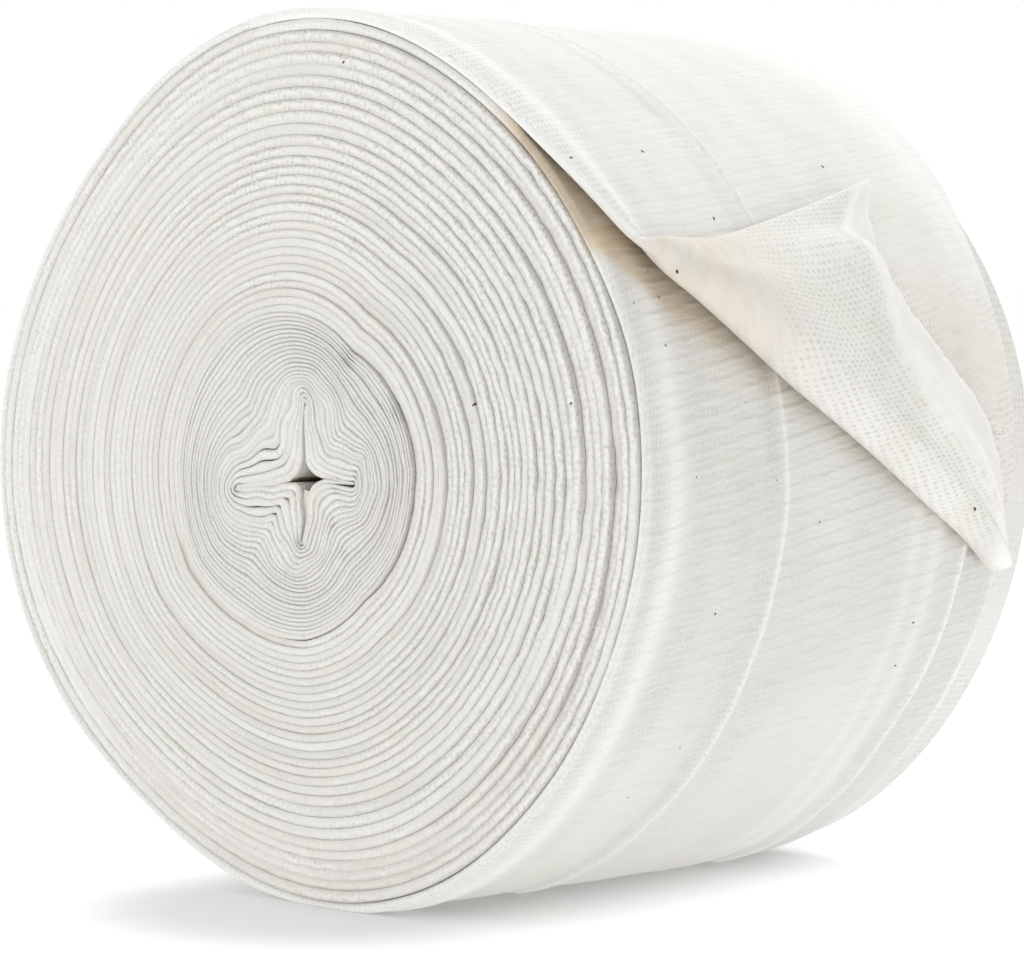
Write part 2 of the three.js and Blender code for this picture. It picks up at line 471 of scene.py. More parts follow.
def finish_piece(name: str, mesh: bpy.types.Mesh,
                 material: bpy.types.Material) -> bpy.types.Object:
    """Makes a piece of a mesh.

    Args:
        name: Name of the piece.
        mesh: Its mesh.
        material: Its finish.

    Returns:
        The new object, which rides on the roll's body.
    """
    mesh.polygons.foreach_set("use_smooth", np.ones(len(mesh.polygons), dtype=bool))
    mesh.materials.append(material)
    mesh.update()
    piece = bpy.data.objects.new(name, mesh)
    bpy.context.scene.collection.objects.link(piece)
    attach(piece, BODY)
    return piece


@dataclass
class KnitMesh:
    """A grid of points round the flattened tube, with the place of each in the flat band."""

    points: Array  # points in rows along the band and columns round the tube, in millimetres
    along: Array  # distance along the band, one for each row or in the layout of across
    # Distance from the tube's front fold, for each row and column and one more column.
    across: Array
    tones: Tones  # how the finish varies, for each point
    welded: bool = False  # whether points that coincide are joined into one

    def to_object(self, name: str, material: bpy.types.Material) -> bpy.types.Object:
        """Makes the piece.

        Args:
            name: Name of the piece.
            material: Its finish.

        Returns:
            The new object.
        """
        rows, columns = self.points.shape[:2]
        row, column = np.meshgrid(np.arange(rows - 1), np.arange(columns), indexing="ij")
        corners = [(row, column), (row + 1, column), (row + 1, column + 1), (row, column + 1)]
        faces = np.stack([line * columns + place % columns for line, place in corners], axis=-1)
        along = np.broadcast_to(self.along, self.across.shape)
        flat = np.stack([np.stack([along[at], self.across[at]], axis=-1) for at in corners],
                        axis=2)
        mesh = bpy.data.meshes.new(name)
        vertices = self.points.reshape(-1, 3) * METRES
        mesh.from_pydata(vertices.tolist(), [], faces.reshape(-1, 4).tolist())
        layer = mesh.uv_layers.new(name="band")
        layer.data.foreach_set("uv", flat.reshape(-1).astype(np.float32))
        tone = mesh.color_attributes.new("tone", "FLOAT_COLOR", "POINT")
        tone.data.foreach_set("color", self.tones.packed((rows, columns)).reshape(-1))
        if self.welded:
            welding = bmesh.new()
            welding.from_mesh(mesh)
            bmesh.ops.remove_doubles(welding, verts=welding.verts, dist=1e-6)
            welding.to_mesh(mesh)
            welding.free()
        return finish_piece(name, mesh, material)


def count_triangles(piece: bpy.types.Object) -> int:
    """Returns how many triangles a piece has."""
    return sum(len(face.vertices) - 2 for face in piece.data.polygons)


# Shader expressions


class Shader:
    """Node tree of one material, or of the world."""

    def __init__(self, owner: bpy.types.Material | bpy.types.World) -> None:
        """Starts an empty node tree.

        Args:
            owner: The material or world that it belongs to.
        """
        owner.use_nodes = True
        self.owner = owner
        self.tree = owner.node_tree
        self.tree.nodes.clear()

    def add(self, kind: str, settings: dict | None = None,
            values: dict | None = None) -> bpy.types.Node:
        """Adds a node.

        Args:
            kind: Type of the node.
            settings: Its settings, which are set first. A ramp's are its stops.
            values: The value or link of each socket, by name or number.

        Returns:
            The new node.
        """
        node = self.tree.nodes.new(kind)
        for name, setting in (settings or {}).items():
            if name == "stops":
                ramp = node.color_ramp.elements
                while len(ramp) < len(setting):
                    ramp.new(1.0)
                for stop, (position, colour) in zip(ramp, setting):
                    stop.position, stop.color = position, colour
            else:
                setattr(node, name, setting)
        for name, value in (values or {}).items():
            if isinstance(value, Wire):
                value = value.socket
            if isinstance(value, bpy.types.NodeSocket):
                self.tree.links.new(value, node.inputs[name])
            else:
                node.inputs[name].default_value = value
        return node

    def wire(self, node: bpy.types.Node, output: str | int = 0) -> "Wire":
        """Returns one of a node's outputs, ready for use in expressions."""
        return Wire(self, node.outputs[output])

    def mix(self, first: object, second: object, share: object) -> "Wire":
        """Returns a colour that goes from first to second with the share."""
        node = self.add("ShaderNodeMix", {"data_type": "RGBA", "clamp_factor": True},
                        {0: share, 6: first, 7: second})
        return self.wire(node, 2)

    def noise(self, place: object, scale: float, detail: float = 2.0,
              roughness: float = 0.5) -> "Wire":
        """Returns a noise value about 0.5 at a place."""
        node = self.add(
            "ShaderNodeTexNoise", {"noise_dimensions": "3D"},
            {"Vector": place, "Scale": scale, "Detail": detail, "Roughness": roughness})
        return self.wire(node, 0)

    def vector(self, x: object, y: object, z: object = 0.0) -> "Wire":
        """Returns a vector made from three values."""
        return self.wire(self.add("ShaderNodeCombineXYZ", None, {0: x, 1: y, 2: z}))


@dataclass(frozen=True)
class Wire:
    """A socket that adds Math nodes when it is used in an expression."""

    shader: Shader  # material that the socket belongs to
    socket: bpy.types.NodeSocket

    def maths(self, operation: str, *values: object) -> "Wire":
        """Returns the result of a Math node on these values."""
        node = self.shader.add("ShaderNodeMath", {"operation": operation},
                               dict(enumerate(values)))
        return self.shader.wire(node)

    def __add__(self, other: object) -> "Wire":
        """Returns the sum."""
        return self.maths("ADD", self, other)

    __radd__ = __add__

    def __mul__(self, other: object) -> "Wire":
        """Returns the product."""
        return self.maths("MULTIPLY", self, other)

    __rmul__ = __mul__

    def __sub__(self, other: object) -> "Wire":
        """Returns the difference."""
        return self.maths("SUBTRACT", self, other)

    def __rsub__(self, other: object) -> "Wire":
        """Returns the difference from the other value."""
        return self.maths("SUBTRACT", other, self)

    def __pow__(self, other: object) -> "Wire":
        """Returns the power."""
        return self.maths("POWER", self, other)

    def __rpow__(self, other: object) -> "Wire":
        """Returns the other value to this power."""
        return self.maths("POWER", other, self)

    def absolute(self) -> "Wire":
        """Returns the value without its sign."""
        return self.maths("ABSOLUTE", self)

    def wave(self) -> "Wire":
        """Returns a wave from 0 to 1, with the value as its phase in radians."""
        return self.maths("COSINE", self) * 0.5 + 0.5

    def ease(self, start: float, end: float) -> "Wire":
        """Returns 0 before start and 1 after end, with a smooth rise between them."""
        node = self.shader.add(
            "ShaderNodeMapRange", {"interpolation_type": "SMOOTHSTEP", "clamp": True},
            {"Value": self, "From Min": start, "From Max": end, "To Min": 0.0, "To Max": 1.0})
        return self.shader.wire(node)


# Finishes


@dataclass(frozen=True)
class KnitFinish:
    """Undyed ribbed cotton knit, with light and shade painted into its colour."""

    name: str
    colour: Colour = (0.80, 0.785, 0.745, 1.0)  # colour of the yarn
    pit_shade_colour: Colour = (0.50, 0.49, 0.43, 1.0)  # painted shade in the pits between the stitches
    # Colour of painted highlights on creases, ridges and folds, and of its raised fibres.
    pale_colour: Colour = (0.90, 0.895, 0.87, 1.0)
    shade_colour: Colour = (0.62, 0.62, 0.60, 1.0)  # colour of its painted shade, and of its darker random fluff and streaks
    # Painted warm shade, in place of light that comes through and off the cloth itself under
    # folds.
    warm_shade_colour: Colour = (0.68, 0.56, 0.39, 1.0)
    # Painted deep shadow between layers, where warm shade and shade are both painted strongly.
    hollow_shadow_colour: Colour = (0.20, 0.155, 0.105, 1.0)
    green_colour: Colour = (0.76, 0.765, 0.66, 1.0)  # colour of its faint greenish patches
    rib_pitch: float = 2.42  # distance between paired ribs along the band
    stitch_pitch: float = 0.88  # distance between stitches across the band
    skew: float = 0.19  # how far the ribs lean along the band for each millimetre across it
    rib_height: float = 0.08  # height of the ribs
    pit_depth: float = 0.06  # depth of the pits between stitches
    fibre_height: float = 0.07  # height of the loose fibres
    pit_shade: float = 0.32  # how strongly shade is painted into the pits
    speckle: float = 0.5  # how much the fibres vary in colour
    fluff_scale: float = 3.2  # how fine its fluff is, in lumps per millimetre
    fold_show: float = 0.0  # how clearly the ribs show as they round the front fold, as painted shade in the groove and a painted highlight on the fold

    def build(self) -> bpy.types.Material:
        """Builds the material.

        Returns:
            The finished material.
        """
        shader = Shader(bpy.data.materials.new(self.name))
        band = shader.add("ShaderNodeUVMap", {"uv_map": "band"})
        parts = shader.add("ShaderNodeSeparateXYZ", None, {0: band.outputs[0]})
        along, across = shader.wire(parts, 0), shader.wire(parts, 1)
        flat = shader.vector(along, across)
        tone = shader.add("ShaderNodeAttribute", {"attribute_name": "tone"})
        split = shader.add("ShaderNodeSeparateColor", None, {0: tone.outputs["Color"]})
        pale, shade, pitted = (shader.wire(split, channel) for channel in range(3))
        warm = shader.wire(tone, "Alpha")

        drift = (shader.noise(flat, 0.12, 1.0) - 0.5) * 3.0
        course = (along + across * self.skew) * (math.tau / self.rib_pitch) + drift
        wale = across * (math.tau / self.stitch_pitch) + drift * 0.7
        single = (course * 2.0 + 0.6).wave()
        worn = shader.noise(flat, 0.5, 3.0, 0.65)
        streaks = shader.noise(shader.vector(along * 0.55, across * 0.11), 1.0, 3.0, 0.6)
        pits = (single * 0.42 + (wale + course * 0.5).wave() * 0.42 + worn * 0.9).ease(0.88, 1.36)
        pits = pits * (pitted + shader.noise(flat, 0.22, 2.0, 0.6) - 0.62).ease(0.0, 0.7)

        # The row of stitches beside the front fold, with dots of painted shade in its groove, and
        # the fold's own sharp ridge, which carries a painted highlight.
        uneven = shader.noise(shader.vector(along * 0.5, across * 0.9), 1.0, 3.0, 0.6)
        waved = across + (uneven - 0.5) * 0.7
        groove = (waved - 0.55).absolute().ease(0.36, 0.08) * across.absolute().ease(1.7, 0.95)
        dash = shader.noise(shader.vector(along * 0.9, across * 0.3), 0.42, 3.0, 0.6)
        knot = (course * 2.0 + worn * 9.0).wave()
        shown = pitted * self.fold_show
        dots = groove * (knot.ease(0.5, 1.0) * 0.6 + dash.ease(0.42, 0.62) * 0.35) * shown
        ridge = (waved - 0.05).absolute().ease(0.26, 0.04)
        ridge = ridge * shown * (dash.ease(0.66, 0.4) * 0.6 + 0.5)

        fibres = shader.noise(shader.vector(along, across * 1.5), 1.9, 4.0, 0.7)
        fluff = shader.noise(flat, self.fluff_scale, 3.0, 0.7)
        height = (course.wave() * self.rib_height + single * (self.rib_height * 0.6)
                  + streaks * (self.rib_height * 4.0)
                  - pits * self.pit_depth + fibres * self.fibre_height
                  + ridge * 0.11 - dots * 0.12
                  + fluff * (self.fibre_height * 0.45))
        relief = shader.add("ShaderNodeBump", None,
                            {"Strength": 1.0, "Distance": METRES, "Height": height})

        patches = shader.noise(flat, 0.07, 4.0, 0.65).ease(0.45, 0.7)
        colour = self.colour
        # Painted light and shade in the colour: shade from the tone's shade, pits and dots,
        # highlights from its pale
        # and the fold's ridge, and warm shade and deep shadow from its warm.
        for tint, share in (
                (self.green_colour, patches * (shown * 0.6 + 0.5)),
                (self.shade_colour, shade * 0.55 + fluff.ease(0.5, 0.2) * (0.6 * self.speckle)
                 + streaks.ease(0.48, 0.3) * 0.22),
                (self.pale_colour, pale * 0.85 + fibres.ease(0.48, 0.72) * self.speckle),
                (self.pale_colour, ridge * 1.4),
                (self.pit_shade_colour, pits * self.pit_shade + dots * 0.7),
                (self.warm_shade_colour, warm * (streaks.ease(0.7, 0.3) * 0.5 + 0.6)),
                (self.hollow_shadow_colour, (warm + shade).ease(1.5, 1.95))):
            colour = shader.mix(colour, tint, share)
        surface = shader.add("ShaderNodeBsdfPrincipled", None, {
            "Base Color": colour, "Roughness": 0.95, "Specular IOR Level": 0.15,
            "Normal": relief.outputs[0], "Sheen Weight": 0.1, "Sheen Roughness": 0.6})
        shader.add("ShaderNodeOutputMaterial", None, {"Surface": surface.outputs[0]})
        return shader.owner


@dataclass(frozen=True)
class SmallFinish:
    """Finish of the small things on the cloth, seed husk and drawn yarn."""

    name: str
    colour: Colour  # its darkest colour
    pale_colour: Colour  # its palest colour

    def build(self) -> bpy.types.Material:
        """Builds the material.

        Returns:
            The finished material.
        """
        shader = Shader(bpy.data.materials.new(self.name))
        place = shader.add("ShaderNodeTexCoord").outputs["Object"]
        patch = shader.noise(place, 3000.0, 2.0)
        surface = shader.add("ShaderNodeBsdfPrincipled", None, {
            "Base Color": shader.mix(self.colour, self.pale_colour, patch.ease(0.4, 0.7)),
            "Roughness": 0.9})
        shader.add("ShaderNodeOutputMaterial", None, {"Surface": surface.outputs[0]})
        return shader.owner


# The wound turns


@dataclass
class WoundTurns:
    """The inner turns of the roll, each the flattened tube seen on its front fold."""

    form: RollForm
    winding: Winding
    material: bpy.types.Material  # finish of the knit
    nose: float = 0.42  # length of the rounded fold where the turns are loosest
    core_nose: float = 0.24  # the same in the core
    soft_nose: float = 0.035  # the same where they are pressed flattest
    wall_depth: float = 2.2  # how far behind the fold the shade between turns is at its full
    fill: float = 0.99  # how much of a turn's thickness the cloth takes up
    squareness: float = 0.6  # how flat a turn's front is, from 1 for round towards 0 for square
    nose_steps: int = 8  # mesh steps round a fold at the front
    rear_steps: int = 6  # mesh steps round a fold at the rear
    tuck_depth: float = 1.1  # depth of the cloth pinched in the lower slit
    tuck_from: float = 1.9  # distance from the star's centre at which it begins

    def looseness(self, path: Path) -> Array:
        """Works out how loosely the turns lie.

        Args:
            path: A stretch of the band.

        Returns:
            From 0 on the pressed side to 1, for each sample.
        """
        right = ease(path["x"], -10.0, 55.0)
        below = 0.3 * ease(-path["z"], 20.0, 60.0)
        top = 0.1 * ease(path["z"], 30.0, 62.0)
        outer = 0.1 * ease(np.hypot(path["x"], path["z"]), 55.0, 68.0)
        return np.clip(np.maximum(right, below + top) + outer, 0.0, 1.0)

    def front_depth(self, path: Path) -> Array:
        """Works out how far behind the face each turn's front fold lies.

        Args:
            path: A stretch of the band.

        Returns:
            The depth of each sample.
        """
        number, along = path["number"], path["along"]
        loose = self.looseness(path)
        uneven = blend(0.05, 0.24, loose) * Wander(11, 1.0, 700.0, 90.0, 30).at(along)
        lumps = blend(0.02, 0.08, loose) * Wander(12, 1.0, 30.0, 4.0, 24).at(along)
        dish = 0.35 * np.sin(number / self.winding.turns * 5.0)
        return uneven + lumps + dish + 0.5 + self.recess(number)

    def recess(self, number: Array) -> Array:
        """Works out how much deeper the looser turns lie.

        Args:
            number: Turn number.

        Returns:
            The added depth.
        """
        side = signed(self.winding.angle_at(number))
        inner = number - self.winding.core_turns
        outer = number - self.winding.turns
        right = between(side, -75.0, -40.0, 40.0, 70.0)
        lower = between(side, -165.0, -150.0, -100.0, -85.0)
        rim = between(side, -60.0, -35.0, 30.0, 60.0)
        return (0.45 * bump(inner, 0.9, 0.5) * right + 0.5 * bump(inner, 1.3, 0.36) * lower
                + 0.2 * bump(outer, -2.6, 0.4) * (1.0 - rim)
                + ridges(outer, ((0.5, -3.6, 0.4), (0.25, -5.7, 0.4))) * rim)

    def rear_depth(self, path: Path) -> Array:
        """Returns how far back each turn's rear fold lies, the outermost turns least."""
        telescoped = 0.7 - 3.6 * ease(path["number"] - self.winding.turns, -5.0, -1.2)
        return self.form.width + telescoped + Wander(13, 0.4, 900.0, 120.0, 24).at(path["along"])

    def ring(self, half: Array, nose: Array, front: Array,
             rear: Array) -> tuple[Array, Array, Array]:
        """Lays points round the flattened tube.

        Args:
            half: Half thickness of the tube along the path.
            nose: Length of its rounded folds.
            front: Depth of its front fold.
            rear: Depth of its rear fold.

        Returns:
            Offset from the middle of the turn, depth, and distance across the band from the
            front fold, with a column for each point. The distances have one column more.
        """
        turn, back = half_turn(self.nose_steps), -half_turn(self.rear_steps)
        nose = np.minimum(nose, half * 1.25)
        half, nose, front, rear = (values[:, None] for values in (half, nose, front, rear))
        offset = np.concatenate([
            half * np.sign(turn) * np.abs(np.sin(turn)) ** self.squareness, half,
            half * np.sin(back), -half], axis=1)
        wall = front + nose + self.wall_depth
        depth = np.concatenate([
            front + nose * (1.0 - np.abs(np.cos(turn)) ** self.squareness), wall,
            rear - nose * (1.0 - np.cos(back)), wall], axis=1)
        quarter = np.full_like(half, FOLD_HALF)
        long = rear - front
        across = np.concatenate([
            quarter * (turn / (math.pi / 2.0)), quarter + self.wall_depth,
            long - quarter * (back / (math.pi / 2.0)),
            2.0 * long - quarter - self.wall_depth, 2.0 * long - quarter], axis=1)
        return offset, depth, across

    def build(self, name: str, first: float, last: float, step: float) -> bpy.types.Object:
        """Builds a stretch of the winding.

        Args:
            name: Name of the piece.
            first: Turn number at which it begins.
            last: Turn number at which it ends.
            step: Mesh step along the band.

        Returns:
            The new piece.
        """
        path = self.winding.stretch(first, last, step)
        number, loose = path["number"], self.looseness(path)
        plump = 1.2 - 0.2 * ease(number, 7.0, 9.0)
        half = path["thickness"] * self.fill * plump / 2.0
        core = 1.0 - ease(number - self.winding.core_turns, -3.0, 0.0)
        nose = blend(blend(self.soft_nose, self.nose, loose), self.core_nose, core)
        pressed = ease(path["z"], 0.0, 2.0) * (1.0 - ease(number, 1.2, 1.7))
        nose = nose * (1.0 - 0.85 * pressed)
        offset, depth, across = self.ring(
            half, nose, self.front_depth(path), self.rear_depth(path))
        tones = self.tones(path, np.maximum(loose, 0.55 * core))
        mesh = KnitMesh(self.form.beside(path, offset, depth), path["along"][:, None], across,
                        tones)
        return mesh.to_object(name, self.material)

    def build_tuck(self) -> bpy.types.Object:
        """Builds the pinched cloth that shows inside the lower slit.

        Returns:
            The new piece.
        """
        arm = self.winding.arms[-1]
        cos, sin = math.cos(math.radians(arm.angle)), math.sin(math.radians(arm.angle))
        along = np.linspace(self.tuck_from, arm.reach - 0.2, 24)
        half = arm.gap * (1.0 - along / arm.gap_reach) * 0.9
        front = self.tuck_depth + 0.08 * (along - self.tuck_from)
        nose, rear = np.full_like(along, self.nose), np.full_like(along, 30.0)
        offset, depth, across = self.ring(half, nose, front, rear)
        bow = 0.25 * np.sin(along)
        along, offset = along[:, None], offset + bow[:, None]
        points = self.form.place(self.winding.centre[0] + along * cos - offset * sin,
                                 self.winding.centre[1] + along * sin + offset * cos, depth)
        # Shade and warm shade painted on it, as it lies deep in the slit.
        tones = Tones(pale=np.array(0.2), shade=np.array(0.5), pits=np.array(0.1),
                      warm=0.6 - 0.04 * along)
        return KnitMesh(points, along, across, tones).to_object("tucked_cloth", self.material)

    def tones(self, path: Path, contrast: Array) -> Tones:
        """Works out how the finish varies over a stretch.

        Args:
            path: The stretch.
            contrast: How strongly shade is painted between one turn and the next, and into the
                pits.

        Returns:
            The tones of each point, in the columns of the ring.
        """
        along, number = path["along"][:, None], path["number"][:, None]
        x, z = path["x"][:, None], path["z"][:, None]
        recess, contrast = self.recess(number), contrast[:, None]
        top = np.cos(half_turn(self.nose_steps))
        behind = np.zeros(self.rear_steps + 3)
        back = np.concatenate([0.0 * top, behind + 1.0])
        crown = np.concatenate([top, behind + 0.6])
        inside = np.concatenate([ease(np.linspace(1.0, -1.0, self.nose_steps + 1), -0.1, 1.0),
                                 behind])
        inside[-1] = 2.0
        lit = 1.0 - 0.6 * ease(-z, 20.0, 62.0)
        patchy = contrast * np.clip(0.75 + Wander(17, 0.6, 60.0, 5.0, 24).at(along), 0.0, 1.6)
        # Deep shadow and warm shade painted into the open middle of the star.
        from_hole = (np.abs(x - self.winding.centre[0]) / self.winding.open_across
                     + np.abs(z - self.winding.centre[1]) / self.winding.open_height)
        hole_shadow = (1.0 - ease(from_hole, 1.5, 2.6)) * (1.0 - ease(number, 1.3, 1.6)) * inside
        # Painted light: paler on each fold's crown and behind the front folds. Painted shade: on
        # the flanks between turns,
        # in recessed turns and more where they lie looser, less towards the bottom. The Wander
        # parts are random tone.
        return Tones(
            pale=(0.22 + Wander(14, 0.25, 500.0, 40.0, 24).at(along) - 0.5 * recess
                  + 0.3 * patchy * (crown - 0.5) + 0.6 * back),
            shade=(0.1 + 0.75 * contrast * (1.0 - back) * lit
                   + Wander(15, 0.14, 600.0, 60.0, 24).at(along)
                   + 0.1 * recess + 0.35 * patchy * (0.6 - crown) + hole_shadow),
            pits=(0.16 + 0.55 * contrast + Wander(16, 0.26, 300.0, 16.0, 30).at(along)
                  + 0.45 * ease(z, 20.0, 55.0)),
            warm=0.04 + 0.12 * recess + hole_shadow)


@dataclass
class LastTurn:
    """The last full turn, whose outside is the side of the roll."""

    form: RollForm
    winding: Winding
    material: bpy.types.Material  # finish of the knit
    crease: float = 31.9  # depth of the pressed crease
    step: float = 78.9  # depth at which the cloth steps down over the turns beneath
    step_drop: float = 0.6  # how far it steps down
    rear: float = 89.8  # depth of its rear fold
    half: float = 0.88  # half thickness of the flattened tube
    nose: float = 1.1  # length of the rounded fold at each side
    first_nose: float = 0.3  # the same at the front, where the turn begins
    mesh_step: float = 1.3  # mesh step along the band
    wall_step: float = 1.0  # mesh step from front to rear
    fine_step: float = 0.24  # the same beside a crease
    fine_reach: float = 1.7  # how far from a crease the fine steps reach
    nose_steps: int = 8  # mesh steps round a fold
    # Bands that stand out, counted from the face, the crease and the step.
    raised_bands: Bands = Bands(
        ((0.3, 6.5, 2.6), (-0.25, 12.5, 3.4), (-0.2, 28.0, 3.0), (0.18, 65.5, 2.0),
         (0.2, 71.0, 2.4), (-0.22, 75.5, 2.0), (0.14, 47.0, 5.0), (0.25, 88.6, 0.8)),
        (((0.42, 0.0, 0.38), (-0.3, -1.8, 1.2)), ((0.4, 0.0, 0.45),)))
    # Bands of painted highlight, counted in the same way.
    highlight_bands: Bands = Bands(
        ((1.2, 89.2, 0.8), (0.75, 6.0, 2.2), (0.35, 65.5, 1.6), (0.4, 71.0, 1.8)),
        (((1.3, 0.1, 0.5),), ((1.2, 0.0, 0.55),)))
    # Bands of painted shade, counted in the same way.
    shade_bands: Bands = Bands(
        ((0.3, 12.5, 2.8), (0.35, 0.9, 1.6)),
        (((0.6, -2.6, 1.7), (0.25, 4.0, 2.5)), ((0.4, -3.5, 2.2),)))
    # Bands where shade is painted into the pits between stitches.
    pit_bands: Bands = Bands(((0.7, 13.5, 1.8), (0.9, 2.0, 2.2)), (((0.8, -3.2, 2.2),),))
    # Painted shade on parts of the side, by their angle.
    side_shade: Ridges = ((0.8, -16.0, 18.0), (0.15, 50.0, 45.0))
    # Depth and angle of the loose end's fold, which shades the side.
    fold_line: tuple[tuple[float, float], ...] = (
        (-1.5, 31.0), (11.0, 21.0), (29.0, 11.5), (45.0, 4.5), (61.0, -2.0), (76.0, -8.0),
        (86.5, -12.2))

    def lines(self, angle: Array) -> tuple[Array, Array]:
        """Works out where the crease and the step run.

        Args:
            angle: Angle about the axis.

        Returns:
            The depth of the crease, and that of the step.
        """
        arc = angle * self.form.arc_per_degree
        sweep = ease(-angle, 12.0, 36.0) * ease(angle, -90.0, -40.0)
        crease = self.crease + 1.4 * sweep + 0.15 * Wander(21, 1.0, 160.0, 40.0).at(arc)
        step = self.step - 5.5 * sweep + 0.3 * Wander(22, 1.0, 200.0, 50.0).at(arc)
        return crease, step

    def relief(self, angle: Array, depth: Array) -> Array:
        """Works out how far the side stands out or in.

        Args:
            angle: Angle about the axis.
            depth: Distance behind the front end face.

        Returns:
            The height of its creases and soft bands.
        """
        crease, step = self.lines(angle)
        made = self.raised_bands.at(depth, crease, step)
        made = made - self.step_drop * ease(depth - step, 0.0, 1.8)
        made = made + Wander(23, 0.10, 60.0, 14.0, 24).at(
            angle * self.form.arc_per_degree, depth * 0.8)
        return made * ease(self.to_seam(angle), 0.0, 9.0)

    def to_seam(self, angle: Array) -> Array:
        """Returns how many degrees away the start of the loose end is."""
        return np.minimum(np.mod(self.form.loose_start - angle, 360.0),
                          np.mod(angle - self.form.loose_start, 360.0))

    def tones(self, angle: Array, depth: Array) -> Tones:
        """Works out how the finish varies over the side.

        Args:
            angle: Angle about the axis.
            depth: Distance behind the front end face.

        Returns:
            The tones of each point.
        """
        arc = angle * self.form.arc_per_degree
        lines = self.lines(angle)
        past_step = depth - lines[1]
        side = signed(angle)
        under = side - np.interp(depth, *zip(*self.fold_line))
        # Painted highlights on bands, the crease and the step, and painted light on the lower
        # side.
        pale = (self.highlight_bands.at(depth, *lines)
                + 0.25 * ease(-side, 20.0, 60.0) * ease(side, -175.0, -100.0))
        # Painted shade in bands, by angle and past the step, with random tone.
        shade = (0.2 + self.shade_bands.at(depth, *lines) + ridges(side, self.side_shade)
                 + 0.5 * ease(past_step, 0.6, 2.0)
                 + Wander(26, 0.12, 50.0, 12.0, 20).at(arc * 0.5, depth))
        # Shade painted into the pits in bands and past the step, with random tone.
        pits = (0.25 + self.pit_bands.at(depth, *lines) + 0.6 * ease(past_step, 0.5, 2.0)
                + Wander(27, 0.22, 40.0, 12.0, 24).at(arc * 0.6, depth))
        # Painted warm shade under the loose end's fold, and darker painted shade in the wedge at
        # its front.
        near_front = 1.0 - ease(depth, 4.0, 34.0)
        tucked = ease(under, -3.4, 1.0)
        warm = (0.65 * tucked * (0.15 + 0.85 * near_front) + 0.2 * ease(under, -1.8, 0.5)
                ) * between(side, -120.0, -60.0, 44.0, 56.0)
        wedge = between(side, 24.0, 33.0, 46.0, 56.0) * near_front * tucked
        seamless = ease(self.to_seam(angle), 0.0, 8.0) * ease(depth, 0.4, 1.5)
        return Tones(blend(0.5, pale, seamless),
                     blend(0.3, shade * (1.0 - 0.5 * warm), seamless) + 0.35 * wedge,
                     blend(0.6, pits, ease(depth, 0.6, 1.6)), warm + 0.4 * wedge)

    def stations(self) -> Array:
        """Spaces the mesh from front to rear, crowded beside the creases.

        Returns:
            The depth of each line of points.
        """
        made = np.arange(self.nose, self.rear - self.nose, self.wall_step)
        for line in (self.crease, self.step):
            fine = np.arange(line - self.fine_reach, line + self.fine_reach, self.fine_step)
            made = np.concatenate([made[np.abs(made - line) > self.fine_reach], fine])
        return np.sort(made)[1:]

    def build(self) -> bpy.types.Object:
        """Builds the last full turn.

        Returns:
            The new piece.
        """
        path = self.winding.stretch(
            self.winding.turns - 1.0, self.winding.turns, self.mesh_step)
        arc, around = path["along"], path["angle"][:, None]
        begun, left = arc - arc[0], arc[-1] - arc
        joined = ease(left, 0.0, 20.0) * ease(begun, 0.0, 20.0)
        front = (0.1 + 0.1 * ease(-begun, -70.0, 0.0)
                 + Wander(24, 0.16, 200.0, 30.0).at(arc) * joined)[:, None]
        nose = blend(self.first_nose, self.nose, ease(begun, 0.0, 90.0))[:, None]
        rear = (self.rear + 6.5 * ease(-begun, -85.0, -40.0) + 9.0 * ease(-left, -90.0, -5.0)
                + Wander(25, 0.35, 160.0, 30.0).at(arc))[:, None]
        crease, step = self.lines(around)
        wall = self.stations()
        depth = wall + (crease - self.crease) * bump(wall, self.crease, 14.0)
        depth = depth + (step - self.step) * bump(wall, self.step, 8.0)
        turn = half_turn(self.nose_steps)
        round_fold = self.half * np.sin(turn)
        offset = np.concatenate([round_fold, np.full_like(wall, self.half), round_fold[::-1]])
        depth = np.concatenate([front + nose * (1.0 - np.cos(turn)), depth,
                                rear - self.nose * (1.0 - np.cos(turn[::-1]))], axis=1)
        angle = around + 0.0 * depth
        offset = offset + np.clip(offset / self.half, 0.0, 1.0) * self.relief(angle, depth)
        points = self.form.beside(path, offset, depth)
        moved = np.linalg.norm(np.diff(points, axis=1), axis=2)
        across = np.concatenate([np.zeros((len(arc), 1)), np.cumsum(moved, axis=1)], axis=1)
        across = across - across[:, self.nose_steps // 2][:, None]
        across = np.concatenate([across, across[:, -1:] + self.rear], axis=1)
        mesh = KnitMesh(points, arc[:, None], across, self.tones(angle, depth))
        return mesh.to_object("last_turn", self.material)


# The loose end


class ClothSide(Enum):
    """The two sides of the band."""

    OUTSIDE = "outside"
    UNDERSIDE = "underside"


@dataclass(frozen=True)
class Thread:
    """Course of one thread along the loose end."""

    across: float  # its place from the band's front edge
    fold_angle: float  # angle at which it rounds the fold
    fold_depth: float  # depth at which it rounds the fold
    slant: float  # slant of the fold to the winding
    turn: float  # radius on which it turns
    lift: float  # height of the fold above its seat
    crest: float  # height to which the part turned back rises
    crest_share: float  # where it does so, from the fold to the cut edge
    bow: float  # how far it bows forward
    edge_angle: float  # angle at which it ends
    edge_depth: float  # depth at which it ends
    edge_lift: float  # height of its end
    lip: float  # width of the strip between its crest and the cut edge


